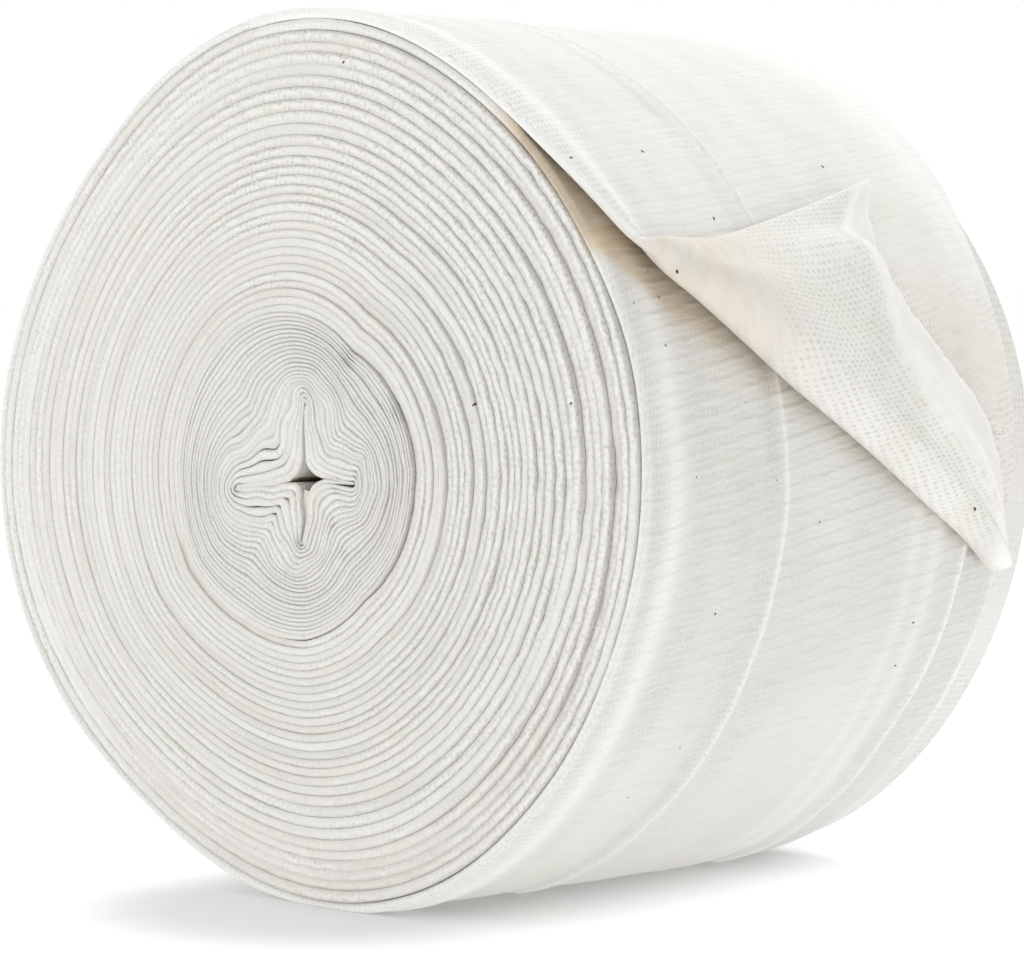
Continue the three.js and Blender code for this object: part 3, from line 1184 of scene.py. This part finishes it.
def smooth_curve(guides: Array, share: Array) -> Array:
    """Follows a smooth curve through guide points.

    Args:
        guides: Guide points along the first axis.
        share: Places along the curve, from 0 to 1.

    Returns:
        A point for each place, along the first axis.
    """
    before = 2.0 * guides[:1] - guides[1:2]
    after = 2.0 * guides[-1:] - guides[-2:-1]
    padded = np.concatenate([before, guides, after])
    spot = np.clip(share, 0.0, 1.0) * (len(guides) - 1)
    index = np.minimum(spot.astype(int), len(guides) - 2)
    t = (spot - index).reshape((-1,) + (1,) * (guides.ndim - 1))
    p0, p1, p2, p3 = (padded[index + shift] for shift in range(4))
    slope, next_slope = (p2 - p0) / 2.0, (p3 - p1) / 2.0
    cubic = (2.0 * p1 - 2.0 * p2 + slope + next_slope) * t ** 3
    square = (-3.0 * p1 + 3.0 * p2 - 2.0 * slope - next_slope) * t ** 2
    return cubic + square + slope * t + p1


@dataclass
class LooseEnd:
    """The last part of the band, with its front corner turned back over the roll."""

    form: RollForm
    material: bpy.types.Material  # finish of the knit
    # Course of a few threads, from the front edge to the rear.
    threads: tuple[Thread, ...] = (
        Thread(0, 28.2, 4.0, 42, 1.5, 2.4, 3.0, 0.3, 2.0, 38.5, 70, 4.2, 4.0),
        Thread(12, 21.2, 11, 50, 3.6, 2, 9.8, 0.7, 3.5, 29.6, 62, 3.6, 14.0),
        Thread(28, 11.5, 29, 55, 3.5, 1, 10.6, 0.54, 2, 21.5, 63.5, 3.0, 18.5),
        Thread(45, 4.5, 45, 58, 3.1, 0.4, 9.8, 0.45, 1.5, 13.5, 70.5, 3.0, 16.5),
        Thread(62, -2, 61, 61, 2.6, 0.2, 8.0, 0.4, 1, 6, 79, 3.0, 11.0),
        Thread(80, -8, 76, 63, 2.0, 0.1, 5.2, 0.4, 0.5, -3, 83.0, 2.7, 5.0),
        Thread(99, -12.2, 86.0, 65, 1.1, 0, 2.9, 0.5, 0, -11.4, 85.4, 2.3, 2.0))
    # How a thread is guided on its way to the fold. Each row is a share of the way, how far the
    # rear thread has been drawn to the fold's place by then, the same for the front thread, and
    # how far it has risen to the fold's height.
    lap: Rows = (
        (0.0, 0.0, 0.0, 0.0), (0.3, 0.0, 0.0, 0.0), (0.5, 0.2, 0.0, 0.0),
        (0.6, 0.45, 0.0, 0.0), (0.7, 0.68, 0.0, 0.0), (0.8, 0.75, 0.15, 0.1),
        (0.9, 0.82, 0.5, 0.45))
    crest_dip: float = 0.12  # how far the part turned back dips between its fold and its crest
    thickness: float = 1.5  # thickness of both plies
    taper: float = 1.2  # length over which the cut end thins out
    cut_share: float = 0.35  # how thick it is at the very end, as a share
    thread_steps: int = 110  # mesh steps across the band
    length_steps: int = 230  # mesh steps along it
    edge_steps: int = 5  # mesh steps round each selvage
    fine_step: float = 0.22  # mesh step across the band beside the crease
    fine_reach: float = 1.7  # how far from the crease the fine steps reach
    fray: float = 0.3  # unevenness of the cut edge
    crease: float = 38.0  # place of the pressed crease across the band
    creased: Ridges = ((0.6, 0.0, 0.4), (-0.3, -1.6, 1.0))  # relief of the crease, counted from it
    raised_bands: Ridges = ((0.25, 6.0, 2.4), (-0.2, 11.0, 2.6))  # relief near the front edge
    # Bands of painted highlight on the outside, counted from the front edge and the crease.
    highlight_bands: Bands = Bands(((0.8, 7.0, 1.6),), (((1.5, 0.0, 0.7),),))
    # Bands of painted shade on the outside, counted in the same way.
    shade_bands: Bands = Bands(
        ((0.6, 12.0, 3.0), (0.45, 20.0, 3.0), (0.45, 50.0, 2.5), (0.3, 63.0, 3.0),
         (0.4, 1.6, 2.0)), (((1.2, -3.2, 1.8),),))
    cut_edge: Array = field(init=False)  # points along the cut edge, once the piece is built
    outward: Array = field(init=False)  # the way out of the cloth at each of them

    def guides(self, thread: Thread) -> Array:
        """Guides one thread from the last full turn to its cut end.

        Args:
            thread: Course of the thread.

        Returns:
            Guide points as length along the winding, depth, and height above the roll.
        """
        seat = self.form.seat_gap + self.thickness / 2.0
        slant = math.radians(thread.slant)
        inward = np.array([-math.sin(slant), math.cos(slant), 0.0]) * thread.turn
        onward = np.array([math.cos(slant), math.sin(slant), 0.0])
        onward *= math.pi / 2.0 * thread.turn / math.tan(slant)
        fold = self.guide(thread.fold_angle, thread.fold_depth, seat + thread.lift + thread.turn)
        bottom, top = fold + inward - onward, fold + inward + onward
        bottom[2] = seat + thread.lift
        top[2] = seat + thread.lift + 2.0 * thread.turn
        edge = self.guide(thread.edge_angle, thread.edge_depth, thread.edge_lift)
        start = self.guide(self.form.loose_start + 1.0, thread.across, self.form.pitch / 2.0)
        made = []
        rearward = thread.across / self.threads[-1].across
        for share, rear, front, risen in self.lap:
            drawn = blend(front, rear, rearward)
            made.append([
                blend(start[0], bottom[0], share), blend(start[1], bottom[1], drawn),
                blend(start[2], bottom[2], risen)])
        made += [bottom, fold, top]
        crest = thread.crest_share
        for share, height in (
                (crest / 2.0, (top[2] + thread.crest) / 2.0
                 - self.crest_dip * max(thread.crest - 5.0, 0.0)),
                (crest, thread.crest),
                ((1.0 + crest) / 2.0, blend(thread.edge_lift, thread.crest, 0.35))):
            spot = blend(top, edge, share)
            spot[0] += thread.bow * math.sin(math.pi * share ** 0.7)
            spot[2] = height
            made.append(spot)
        made.append(edge)
        return np.array(made, dtype=float)

    def guide(self, angle: float, depth: float, height: float) -> Array:
        """Returns a guide point at an angle, a depth and a height above the roll."""
        along = (self.form.loose_start - angle) * self.form.arc_per_degree
        return np.array([along, depth, height])

    def middle(self, across: Array, along: Array) -> Array:
        """Lays out the cloth's middle surface.

        Args:
            across: Shares of the way across the band.
            along: Shares of the way along it.

        Returns:
            Points in the part's frame, with rows across the band and columns along it.
        """
        guides = np.array([self.guides(thread) for thread in self.threads])
        rows = smooth_curve(guides, across)
        grid = smooth_curve(rows.transpose(1, 0, 2), along).transpose(1, 0, 2)
        turned = grid[..., 0] / self.form.arc_per_degree
        angle = self.form.loose_start - turned
        seat = self.form.radius - self.form.pitch * (1.0 - turned / 360.0)
        sunk = 1.1 * ease(grid[..., 1], 88.0, 93.0) * ease(grid[..., 0], 0.0, 12.0)
        radius = seat + self.form.out_of_round(angle) + grid[..., 2] - sunk
        return self.form.place_polar(angle, radius, grid[..., 1])

    def relief(self, length: Array, across: Array) -> Array:
        """Works out how far the cloth stands out or in.

        Args:
            length: Distance along the band from the last full turn.
            across: Place from the band's front edge.

        Returns:
            The height of its crease, which fades out before the fold, and its unevenness.
        """
        creased = ridges(across - self.crease_at(length), self.creased)
        return (Wander(31, 0.09, 70.0, 14.0, 24).at(length, across)
                + creased * ease(-length, -112.0, -94.0) + ridges(across, self.raised_bands))

    def crease_at(self, length: Array) -> Array:
        """Returns the place of the pressed crease across the band."""
        uneven = 0.2 * Wander(32, 1.0, 120.0, 40.0).at(length)
        return self.crease - 0.5 * ease(length, 0.0, 60.0) + uneven

    def tones(self, length: Array, across: Array, side: ClothSide) -> Tones:
        """Works out how the finish varies over one side of the cloth.

        Args:
            length: Distance along the band from the last full turn.
            across: Place from the band's front edge.
            side: The side of the cloth.

        Returns:
            The tones of each point.
        """
        left = length[:, -1:] - length
        edge = np.minimum(across, self.threads[-1].across - across)
        wear = Wander(33, 0.25, 50.0, 10.0, 24).at(length, across)
        # Painted highlights on the selvages and the cut edge, with random wear.
        pale = 0.9 * bump(edge, 0.0, 0.9) + bump(left, 0.0, 1.5) + 0.3 + 0.5 * wear
        if side is ClothSide.OUTSIDE:
            # Painted highlights on bands, the crease and towards the rear edge, painted shade in
            # bands, and warm shade painted further along.
            crease = self.crease_at(length)
            pale = pale + self.highlight_bands.at(across, crease) + 0.8 * ease(across, 78.0, 95.0)
            shade = self.shade_bands.at(across, crease) + 0.3 * wear
            pits = 0.1 + wear + 0.5 * ease(length, 85.0, 110.0) + 1.1 * bump(across, 2.6, 2.4)
            warm = 0.25 * ease(length, 80.0, 110.0)
        else:
            # Painted highlight on the crest's ridge with shade beside it, less pale and warm shade
            # painted near the fold.
            to_crest = ease(left, 52.0, 34.0)
            lip = np.interp(across, [thread.across for thread in self.threads],
                            [thread.lip for thread in self.threads])
            past_lip = left - lip
            ridge = bump(past_lip, 0.0, 1.6)
            pale = pale - 0.3 * (1.0 - to_crest) + 0.9 * ridge + 0.2 * ease(-left, -lip, 0.0)
            shade = 0.12 + 0.3 * wear + 0.5 * bump(past_lip, 4.5, 3.0) - 0.3 * ridge
            pits = 0.95 * to_crest * ease(past_lip, 0.5, 4.0) + 0.4 * wear
            warm = (0.34 * (1.0 - to_crest) + 0.05) * ease(length, 75.0, 95.0)
        begun = ease(length, 0.0, 12.0)
        return Tones(blend(0.5, pale, begun), blend(0.3, shade, begun), pits,
                     warm * np.ones_like(length))

    def build(self) -> bpy.types.Object:
        """Builds the loose end.

        Returns:
            The new piece.
        """
        half = self.thickness / 2.0
        band = self.threads[-1].across
        turn = np.linspace(0.0, math.pi / 2.0, self.edge_steps + 1)
        edge = half * (1.0 - np.cos(turn))
        inner = np.linspace(edge[-1], band - edge[-1], self.thread_steps + 1)[1:-1]
        fine = np.arange(self.crease - self.fine_reach, self.crease + self.fine_reach,
                         self.fine_step)
        apart = np.abs(inner - self.crease) > self.fine_reach
        inner = np.sort(np.concatenate([inner[apart], fine]))
        across = np.concatenate([edge, inner, band - edge[::-1]])
        swell = half * np.concatenate([np.sin(turn), np.ones_like(inner), np.sin(turn[::-1])])
        along = np.linspace(0.0, 1.0, self.length_steps + 1)
        middle = self.middle(self.shares_across(across), along)
        ahead = np.gradient(middle, axis=1)
        onward = ahead[:, -1] / np.linalg.norm(ahead[:, -1], axis=1, keepdims=True)
        middle[:, -1] += onward * Wander(34, self.fray, 9.0, 1.6, 20).at(across)[:, None]
        aside = np.gradient(middle, axis=0)
        normal = np.cross(ahead, aside)
        normal /= np.linalg.norm(normal, axis=2, keepdims=True)
        length = np.concatenate([
            np.zeros((len(across), 1)),
            np.cumsum(np.linalg.norm(np.diff(middle, axis=1), axis=2), axis=1)], axis=1)
        place = across[:, None] + 0.0 * length
        end = np.minimum((length[:, -1:] - length) / self.taper, 1.0)
        rounded = np.sqrt(np.clip(1.0 - (1.0 - end) ** 2, 0.0, 1.0))
        taper = blend(self.cut_share, 1.0, rounded)
        relief = self.relief(length, place) * ease(length, 0.0, 12.0)
        middle = middle + normal * relief[..., None]
        start = 1.0 + (self.form.pitch * 0.98 / self.thickness - 1.0) * (
            1.0 - ease(length, 4.0, 30.0)) + 0.02 * (1.0 - ease(length, 0.2, 1.6))
        lift = (swell[:, None] * taper * start)[..., None] * normal
        outer, under = middle + lift, middle - lift
        ring = np.concatenate([outer, under[:, ::-1]], axis=1)
        lengths = np.concatenate([length, length[:, ::-1], length[:, :1]], axis=1)
        side = np.concatenate([place, -place, place[:, :1]], axis=1)
        side[:, -1] = -place[:, 0]
        top, below = (self.tones(length, place, side_out).packed(length.shape)
                      for side_out in ClothSide)
        tones = Tones(*np.moveaxis(np.concatenate([top, below[:, ::-1]], axis=1), 2, 0))
        self.cut_edge, self.outward = middle[:, -1], onward
        mesh = KnitMesh(ring, lengths, side, tones, welded=True)
        return mesh.to_object("loose_end_cloth", self.material)

    def shares_across(self, across: Array) -> Array:
        """Returns the share of the guided threads at which each distance across lies."""
        stations = np.array([thread.across for thread in self.threads])
        return np.interp(across, stations, np.linspace(0.0, 1.0, len(stations)))


# Flecks and loose yarn


@dataclass
class SeedFlecks:
    """Bits of seed husk that cling to one side of the roll."""

    form: RollForm
    material: bpy.types.Material  # finish of the husk
    around: int = 8  # facets round each fleck
    sunk: float = 0.3  # how far a fleck is buried, as a share of its thickness
    lengths: tuple[float, float] = (0.6, 0.25)  # shortest half length for a size, and spread
    width: float = 0.42  # half width for a size
    height: float = 0.3  # thickness for a size
    outline: tuple[float, float] = (0.8, 0.35)  # smallest reach of a point, and its spread
    seed: int = 51  # seed of the random draws

    def over(self, rows: Rows) -> list[tuple[Array, float]]:
        """Returns the place and size of flecks given by angle, depth, height and size."""
        return [(self.form.place_polar(angle, self.form.outside(angle) + height, depth), size)
                for angle, depth, height, size in rows]

    def build(self, name: str, spots: list[tuple[Array, float]],
              ground: bpy.types.Object) -> bpy.types.Object:
        """Builds the flecks of one piece.

        Args:
            name: Name of the new piece.
            spots: A point near each fleck, and its size.
            ground: The cloth that the flecks lie on.

        Returns:
            The new piece.
        """
        skin = BVHTree.FromObject(ground, bpy.context.evaluated_depsgraph_get())
        draw = np.random.default_rng(self.seed)
        points, faces = [], []
        for spot, size in spots:
            place, normal = skin.find_nearest(Vector(spot) * METRES)[:2]
            place = place / METRES
            along = normal.orthogonal().normalized()
            along.rotate(Quaternion(normal, draw.random() * math.pi))
            aside = normal.cross(along)
            first = len(points)
            long = size * (self.lengths[0] + self.lengths[1] * draw.random())
            wide, thick = size * self.width, size * self.height
            points.append(place + normal * thick * (1.0 - self.sunk))
            for index in range(self.around):
                turned = math.tau * index / self.around
                reach = self.outline[0] + self.outline[1] * draw.random()
                points.append(place - normal * thick * self.sunk
                              + along * long * reach * math.cos(turned)
                              + aside * wide * reach * math.sin(turned))
            points.append(place - normal * thick)
            for index in range(self.around):
                near, far = first + 1 + index, first + 1 + (index + 1) % self.around
                faces += [(first, near, far), (first + self.around + 1, far, near)]
        mesh = bpy.data.meshes.new(name)
        mesh.from_pydata([point * METRES for point in points], [], faces)
        return finish_piece(name, mesh, self.material)


@dataclass
class FrayedYarn:
    """Ends of yarn that stand out of the cut edge."""

    form: RollForm
    material: bpy.types.Material  # finish of the yarn
    # Course of the drawn loop, as angle, depth and height above the roll.
    loop: tuple[tuple[float, float, float], ...] = (
        (6.0, 79.0, 3.2), (5.7, 80.6, 3.8), (5.1, 82.0, 4.2), (4.4, 82.2, 4.1),
        (4.2, 81.0, 3.8), (4.6, 80.4, 3.7), (4.5, 81.4, 3.9), (3.8, 81.4, 3.5), (3.3, 79.8, 3.0))
    loop_radius: float = 0.2  # half thickness of its yarn
    fibre_radius: float = 0.07  # half thickness of a fibre
    fibres: int = 40  # number of short fibres
    reaches: tuple[float, float] = (0.4, 0.9)  # shortest reach of a fibre, and its spread
    bend: float = 0.45  # how far a fibre bends aside, as a share of its reach
    rooted: float = 0.4  # how deep in the cloth it begins
    bare: tuple[int, int] = (16, 8)  # points of the cut edge without fibres, front and rear
    seed: int = 52  # seed of the random draws
    steps: tuple[int, int] = (60, 6)  # points along the loop, and along a fibre
    facets: int = 5  # facets round a yarn

    def tube(self, course: Array, radius: float, points: list[Vector],
             faces: list[tuple[int, ...]]) -> None:
        """Adds one yarn.

        Args:
            course: Its points.
            radius: Its half thickness.
            points: Points of the mesh so far, which it adds to.
            faces: Faces of the mesh so far, which it adds to.
        """
        first = len(points)
        steps = len(course)
        for index in range(steps):
            after, before = min(index + 1, steps - 1), max(index - 1, 0)
            ahead = Vector(course[after] - course[before]).normalized()
            side = ahead.orthogonal().normalized()
            lift = ahead.cross(side)
            taper = radius * (0.5 if index in (0, steps - 1) else 1.0)
            for facet in range(self.facets):
                turned = math.tau * facet / self.facets
                points.append(Vector(course[index]) + taper * (
                    side * math.cos(turned) + lift * math.sin(turned)))
        for index in range(steps - 1):
            for facet in range(self.facets):
                here, following = facet, (facet + 1) % self.facets
                low, high = first + index * self.facets, first + (index + 1) * self.facets
                faces.append((low + here, low + following, high + following, high + here))
        faces.append(tuple(first + facet for facet in range(self.facets))[::-1])
        faces.append(tuple(first + (steps - 1) * self.facets + facet
                           for facet in range(self.facets)))

    def build(self, cut_edge: Array, outward: Array) -> bpy.types.Object:
        """Builds the drawn loop and the short fibres.

        Args:
            cut_edge: Points along the cut edge.
            outward: The way out of the cloth at each of them.

        Returns:
            The new piece.
        """
        points, faces = [], []
        guides = np.array(self.loop)
        curve = smooth_curve(guides, np.linspace(0.0, 1.0, self.steps[0]))
        radius = self.form.outside(curve[:, 0]) + curve[:, 2]
        self.tube(self.form.place_polar(curve[:, 0], radius, curve[:, 1]), self.loop_radius,
                  points, faces)
        draw = np.random.default_rng(self.seed)
        for _ in range(self.fibres):
            at = int(draw.integers(self.bare[0], len(cut_edge) - self.bare[1]))
            reach = self.reaches[0] + self.reaches[1] * draw.random() ** 2
            bend = draw.normal(size=3) * self.bend
            share = np.linspace(0.0, 1.0, self.steps[1])[:, None]
            root = cut_edge[at] - outward[at] * self.rooted
            course = root + outward[at] * reach * share + bend * share ** 2 * reach
            self.tube(course, self.fibre_radius, points, faces)
        mesh = bpy.data.meshes.new("frayed_yarn")
        mesh.from_pydata([point * METRES for point in points], [], faces)
        return finish_piece("frayed_yarn", mesh, self.material)


# Studio


@dataclass(frozen=True)
class Lamp:
    """A soft square lamp that faces the roll."""

    name: str
    azimuth: float  # its direction about the vertical
    elevation: float  # its height above the level
    distance: float  # its distance from the roll
    size: float  # length of its side
    watts: float  # its power


@dataclass
class Studio:
    """White floor and backdrop, soft lamps and the camera."""

    aim: tuple[float, float, float] = (45.5, -50.0, 69.85)  # point that the camera looks at
    azimuth: float = 43.09  # direction of the camera about the vertical
    elevation: float = 3.2  # its height above the level
    distance: float = 602.3  # its distance from the aim
    lens: float = 140.625  # focal length of its lens
    sensor: float = 36.0  # width of its sensor
    lamps: tuple[Lamp, ...] = (Lamp("overhead", -150.0, 72.0, 900.0, 700.0, 3.9),
                               Lamp("front", -35.0, 20.0, 1100.0, 700.0, 1.35))
    fill: float = 0.78  # strength of the soft light from all round
    floor_size: float = 3000.0  # side of the floor
    floor_drop: float = 0.05  # how far the floor lies below the roll
    floor_colour: Colour = (0.88, 0.875, 0.89, 1.0)  # colour of the floor
    floor_light: float = 0.34  # how much the floor itself gives to what lies on it
    # Glow added to the floor where it is seen, away from the roll; it fades out near the roll,
    # which paints a darker band of shadow there.
    floor_glow: Colour = (0.48, 0.48, 0.48, 1.0)
    glow_from: float = 0.014  # distance from the roll at which that starts, in metres
    glow_full: float = 0.05  # distance at which it is at its full, in metres

    def facing(self, name: str, data: bpy.types.ID, target: Vector, azimuth: float,
               elevation: float, distance: float) -> bpy.types.Object:
        """Places the camera or a lamp so that it faces a point.

        Args:
            name: Name of the new object.
            data: The camera or light.
            target: The point.
            azimuth: Direction from the point about the vertical.
            elevation: Height above the level.
            distance: Distance from the point.

        Returns:
            The new object.
        """
        turned, raised = math.radians(azimuth), math.radians(elevation)
        back = Vector((math.sin(turned) * math.cos(raised),
                       -math.cos(turned) * math.cos(raised), math.sin(raised)))
        placed = bpy.data.objects.new(name, data)
        placed.location = (target + back * distance) * METRES
        placed.rotation_euler = back.to_track_quat("Z", "Y").to_euler()
        bpy.context.scene.collection.objects.link(placed)
        return placed

    def camera(self) -> None:
        """Places the camera."""
        data = bpy.data.cameras.new("camera")
        data.lens, data.sensor_width, data.clip_end = self.lens, self.sensor, 20.0
        bpy.context.scene.camera = self.facing(
            "camera", data, Vector(self.aim), self.azimuth, self.elevation, self.distance)

    def hang(self, lamp: Lamp) -> None:
        """Hangs a lamp.

        Args:
            lamp: The lamp.
        """
        data = bpy.data.lights.new(lamp.name, "AREA")
        data.size, data.energy = lamp.size * METRES, lamp.watts
        self.facing(lamp.name, data, Vector((0.0, 0.0, self.aim[2])), lamp.azimuth,
                    lamp.elevation, lamp.distance)

    def floor(self) -> None:
        """Lays the floor, which looks white and keeps the roll's shadow, with a band of painted
        shadow where its glow fades out near the roll.
        """
        shader = Shader(bpy.data.materials.new("studio_white"))
        rays = shader.add("ShaderNodeLightPath")
        seen = shader.wire(rays, "Is Camera Ray")
        for kind in ("Is Glossy Ray", "Is Transmission Ray"):
            seen = seen.maths("MAXIMUM", seen, shader.wire(rays, kind))
        plain = shader.add("ShaderNodeBsdfDiffuse", None, {"Color": self.floor_colour})
        lit = shader.add("ShaderNodeEmission", None,
                         {"Color": (1.0, 1.0, 1.0, 1.0), "Strength": self.floor_light})
        spot = shader.add("ShaderNodeSeparateXYZ", None, {
            0: shader.add("ShaderNodeTexCoord").outputs["Object"]})
        aside, ahead = shader.wire(spot, 0), shader.wire(spot, 1)
        beyond = ahead.maths("MAXIMUM", ahead.absolute() - 0.05, 0.0)
        reach = (aside * aside + beyond * beyond) ** 0.5 + ahead * 0.1 - aside * 0.1
        glow = shader.add("ShaderNodeEmission", None, {
            "Color": shader.mix((0.0, 0.0, 0.0, 1.0), self.floor_glow,
                                reach.ease(self.glow_from, self.glow_full)),
            "Strength": 1.0})
        table, white = (shader.add("ShaderNodeAddShader", None, {
            0: plain.outputs[0], 1: light.outputs[0]}) for light in (lit, glow))
        surface = shader.add("ShaderNodeMixShader", None,
                             {0: seen, 1: table.outputs[0], 2: white.outputs[0]})
        shader.add("ShaderNodeOutputMaterial", None, {"Surface": surface.outputs[0]})
        half = self.floor_size * METRES / 2.0
        mesh = bpy.data.meshes.new("studio_floor")
        mesh.from_pydata([(-half, -half, 0.0), (half, -half, 0.0), (half, half, 0.0),
                          (-half, half, 0.0)], [], [(0, 1, 2, 3)])
        mesh.materials.append(shader.owner)
        floor = bpy.data.objects.new("studio_floor", mesh)
        floor.location = (0.0, 0.0, -self.floor_drop * METRES)
        bpy.context.scene.collection.objects.link(floor)

    def world(self) -> None:
        """Fills the room with soft light in front of a white background."""
        world = bpy.data.worlds.new("studio_world")
        bpy.context.scene.world = world
        shader = Shader(world)
        rays = shader.add("ShaderNodeLightPath")
        light, white = (shader.add("ShaderNodeBackground", None, {
            "Color": (1.0, 1.0, 1.0, 1.0), "Strength": strength}) for strength in (self.fill, 1.0))
        surface = shader.add("ShaderNodeMixShader", None, {
            0: rays.outputs["Is Camera Ray"], 1: light.outputs[0], 2: white.outputs[0]})
        shader.add("ShaderNodeOutputWorld", None, {"Surface": surface.outputs[0]})

    def build(self) -> None:
        """Sets up the whole studio."""
        bpy.context.scene.view_settings.view_transform = "Standard"
        self.camera()
        self.floor()
        self.world()
        for lamp in self.lamps:
            self.hang(lamp)


# Assembly


# Angle, depth, height above the last turn and size of each fleck.
SIDE_FLECKS = (
    (-16.3, 19.4, 0.0, 0.62), (-19.7, 69.9, 0.0, 0.55), (-26.0, 69.8, 0.0, 0.6),
    (-44.2, 20.1, 0.0, 0.45), (-35.9, 24.7, 0.0, 0.45), (-5.5, 40.6, 0.0, 0.45),
    (-0.2, 30.1, 0.0, 0.4), (0.6, 11.0, 0.0, 0.42), (22.3, 9.4, 0.0, 0.55),
    (16.1, 7.2, 0.0, 0.6), (25.7, 9.2, 0.0, 0.42), (21.5, 3.3, 0.0, 0.4),
    (9.2, 23.5, 0.0, 0.36))
LOOSE_FLECKS = (
    (43.4, 21.9, 1.8, 0.5), (32.7, 28.2, 1.8, 0.45), (42.2, 64.5, 1.8, 0.5),
    (41.2, 3.1, 1.8, 0.5), (-4.0, 71.0, 6.5, 0.55), (12.7, 38.5, 8.5, 0.45),
    (22.8, 5.8, 7.0, 0.5))
# Distances from the axis towards +X and upwards, and size.
FACE_FLECKS = ((37.6, 10.8, 0.6), (57.3, 11.4, 0.6), (9.4, 63.4, 0.7))


def main() -> None:
    """Builds the roll round its frame and the studio round the roll."""
    logging.basicConfig(level=logging.INFO, format="%(asctime)s %(name)s: %(message)s")
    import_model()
    Studio().build()

    form = RollForm()
    winding = Winding(form)
    knit = KnitFinish("cotton_knit", fold_show=0.5).build()
    # The end face's knit has a darker colour than the side's, which paints shade on the face.
    shaded_face_knit = KnitFinish("cotton_knit_fold_shaded", colour=(0.74, 0.725, 0.68, 1.0),
                           pale_colour=(0.86, 0.85, 0.815, 1.0),
                           rib_height=0.05, fibre_height=0.2, pit_depth=0.1, speckle=0.75,
                           skew=0.0, fluff_scale=1.7, fold_show=1.0).build()
    loose_knit = KnitFinish("loose_cotton_knit", stitch_pitch=1.15, pit_depth=0.08,
                            rib_height=0.045, pit_shade=0.45, fold_show=0.9).build()

    turns = WoundTurns(form, winding, shaded_face_knit)
    pieces = [
        turns.build_tuck(),
        turns.build("inner_turns", winding.first, MIDDLE_FROM, FINE_STEP),
        turns.build("middle_turns", MIDDLE_FROM, OUTER_FROM, COARSE_STEP),
        turns.build("outer_turns", OUTER_FROM, winding.turns - 1.0, COARSE_STEP),
        LastTurn(form, winding, knit).build(),
    ]
    for piece in pieces:
        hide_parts("wound_roll")

    loose_end = LooseEnd(form, loose_knit)
    cloth = loose_end.build()
    bleached = SmallFinish("drawn_yarn", (0.80, 0.79, 0.76, 1.0), (0.93, 0.92, 0.90, 1.0)).build()
    yarn = FrayedYarn(form, bleached).build(loose_end.cut_edge, loose_end.outward)

    husk = SmallFinish("seed_husk", (0.05, 0.035, 0.02, 1.0), (0.22, 0.16, 0.10, 1.0)).build()
    flecks = SeedFlecks(form, husk)
    face = [(form.place(across, height, FACE_DEPTH), size)
            for across, height, size in FACE_FLECKS]
    husks = [flecks.build("side_flecks", flecks.over(SIDE_FLECKS), pieces[-1])]
    husks += [flecks.build(f"face_fleck_{number}", [spot], ground) for number, (spot, ground)
              in enumerate(zip(face, (pieces[2], pieces[3], pieces[3])), start=1)]
    loose_husk = flecks.build("loose_end_flecks", flecks.over(LOOSE_FLECKS), cloth)
    for piece in husks:
        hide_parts("wound_roll")
    for piece in (cloth, yarn, loose_husk):
        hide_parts("loose_end")

    for piece in [*pieces, *husks, cloth, yarn, loose_husk]:
        LOG.info("%s: %d triangles", piece.name, count_triangles(piece))


if __name__ == "__main__":
    main()
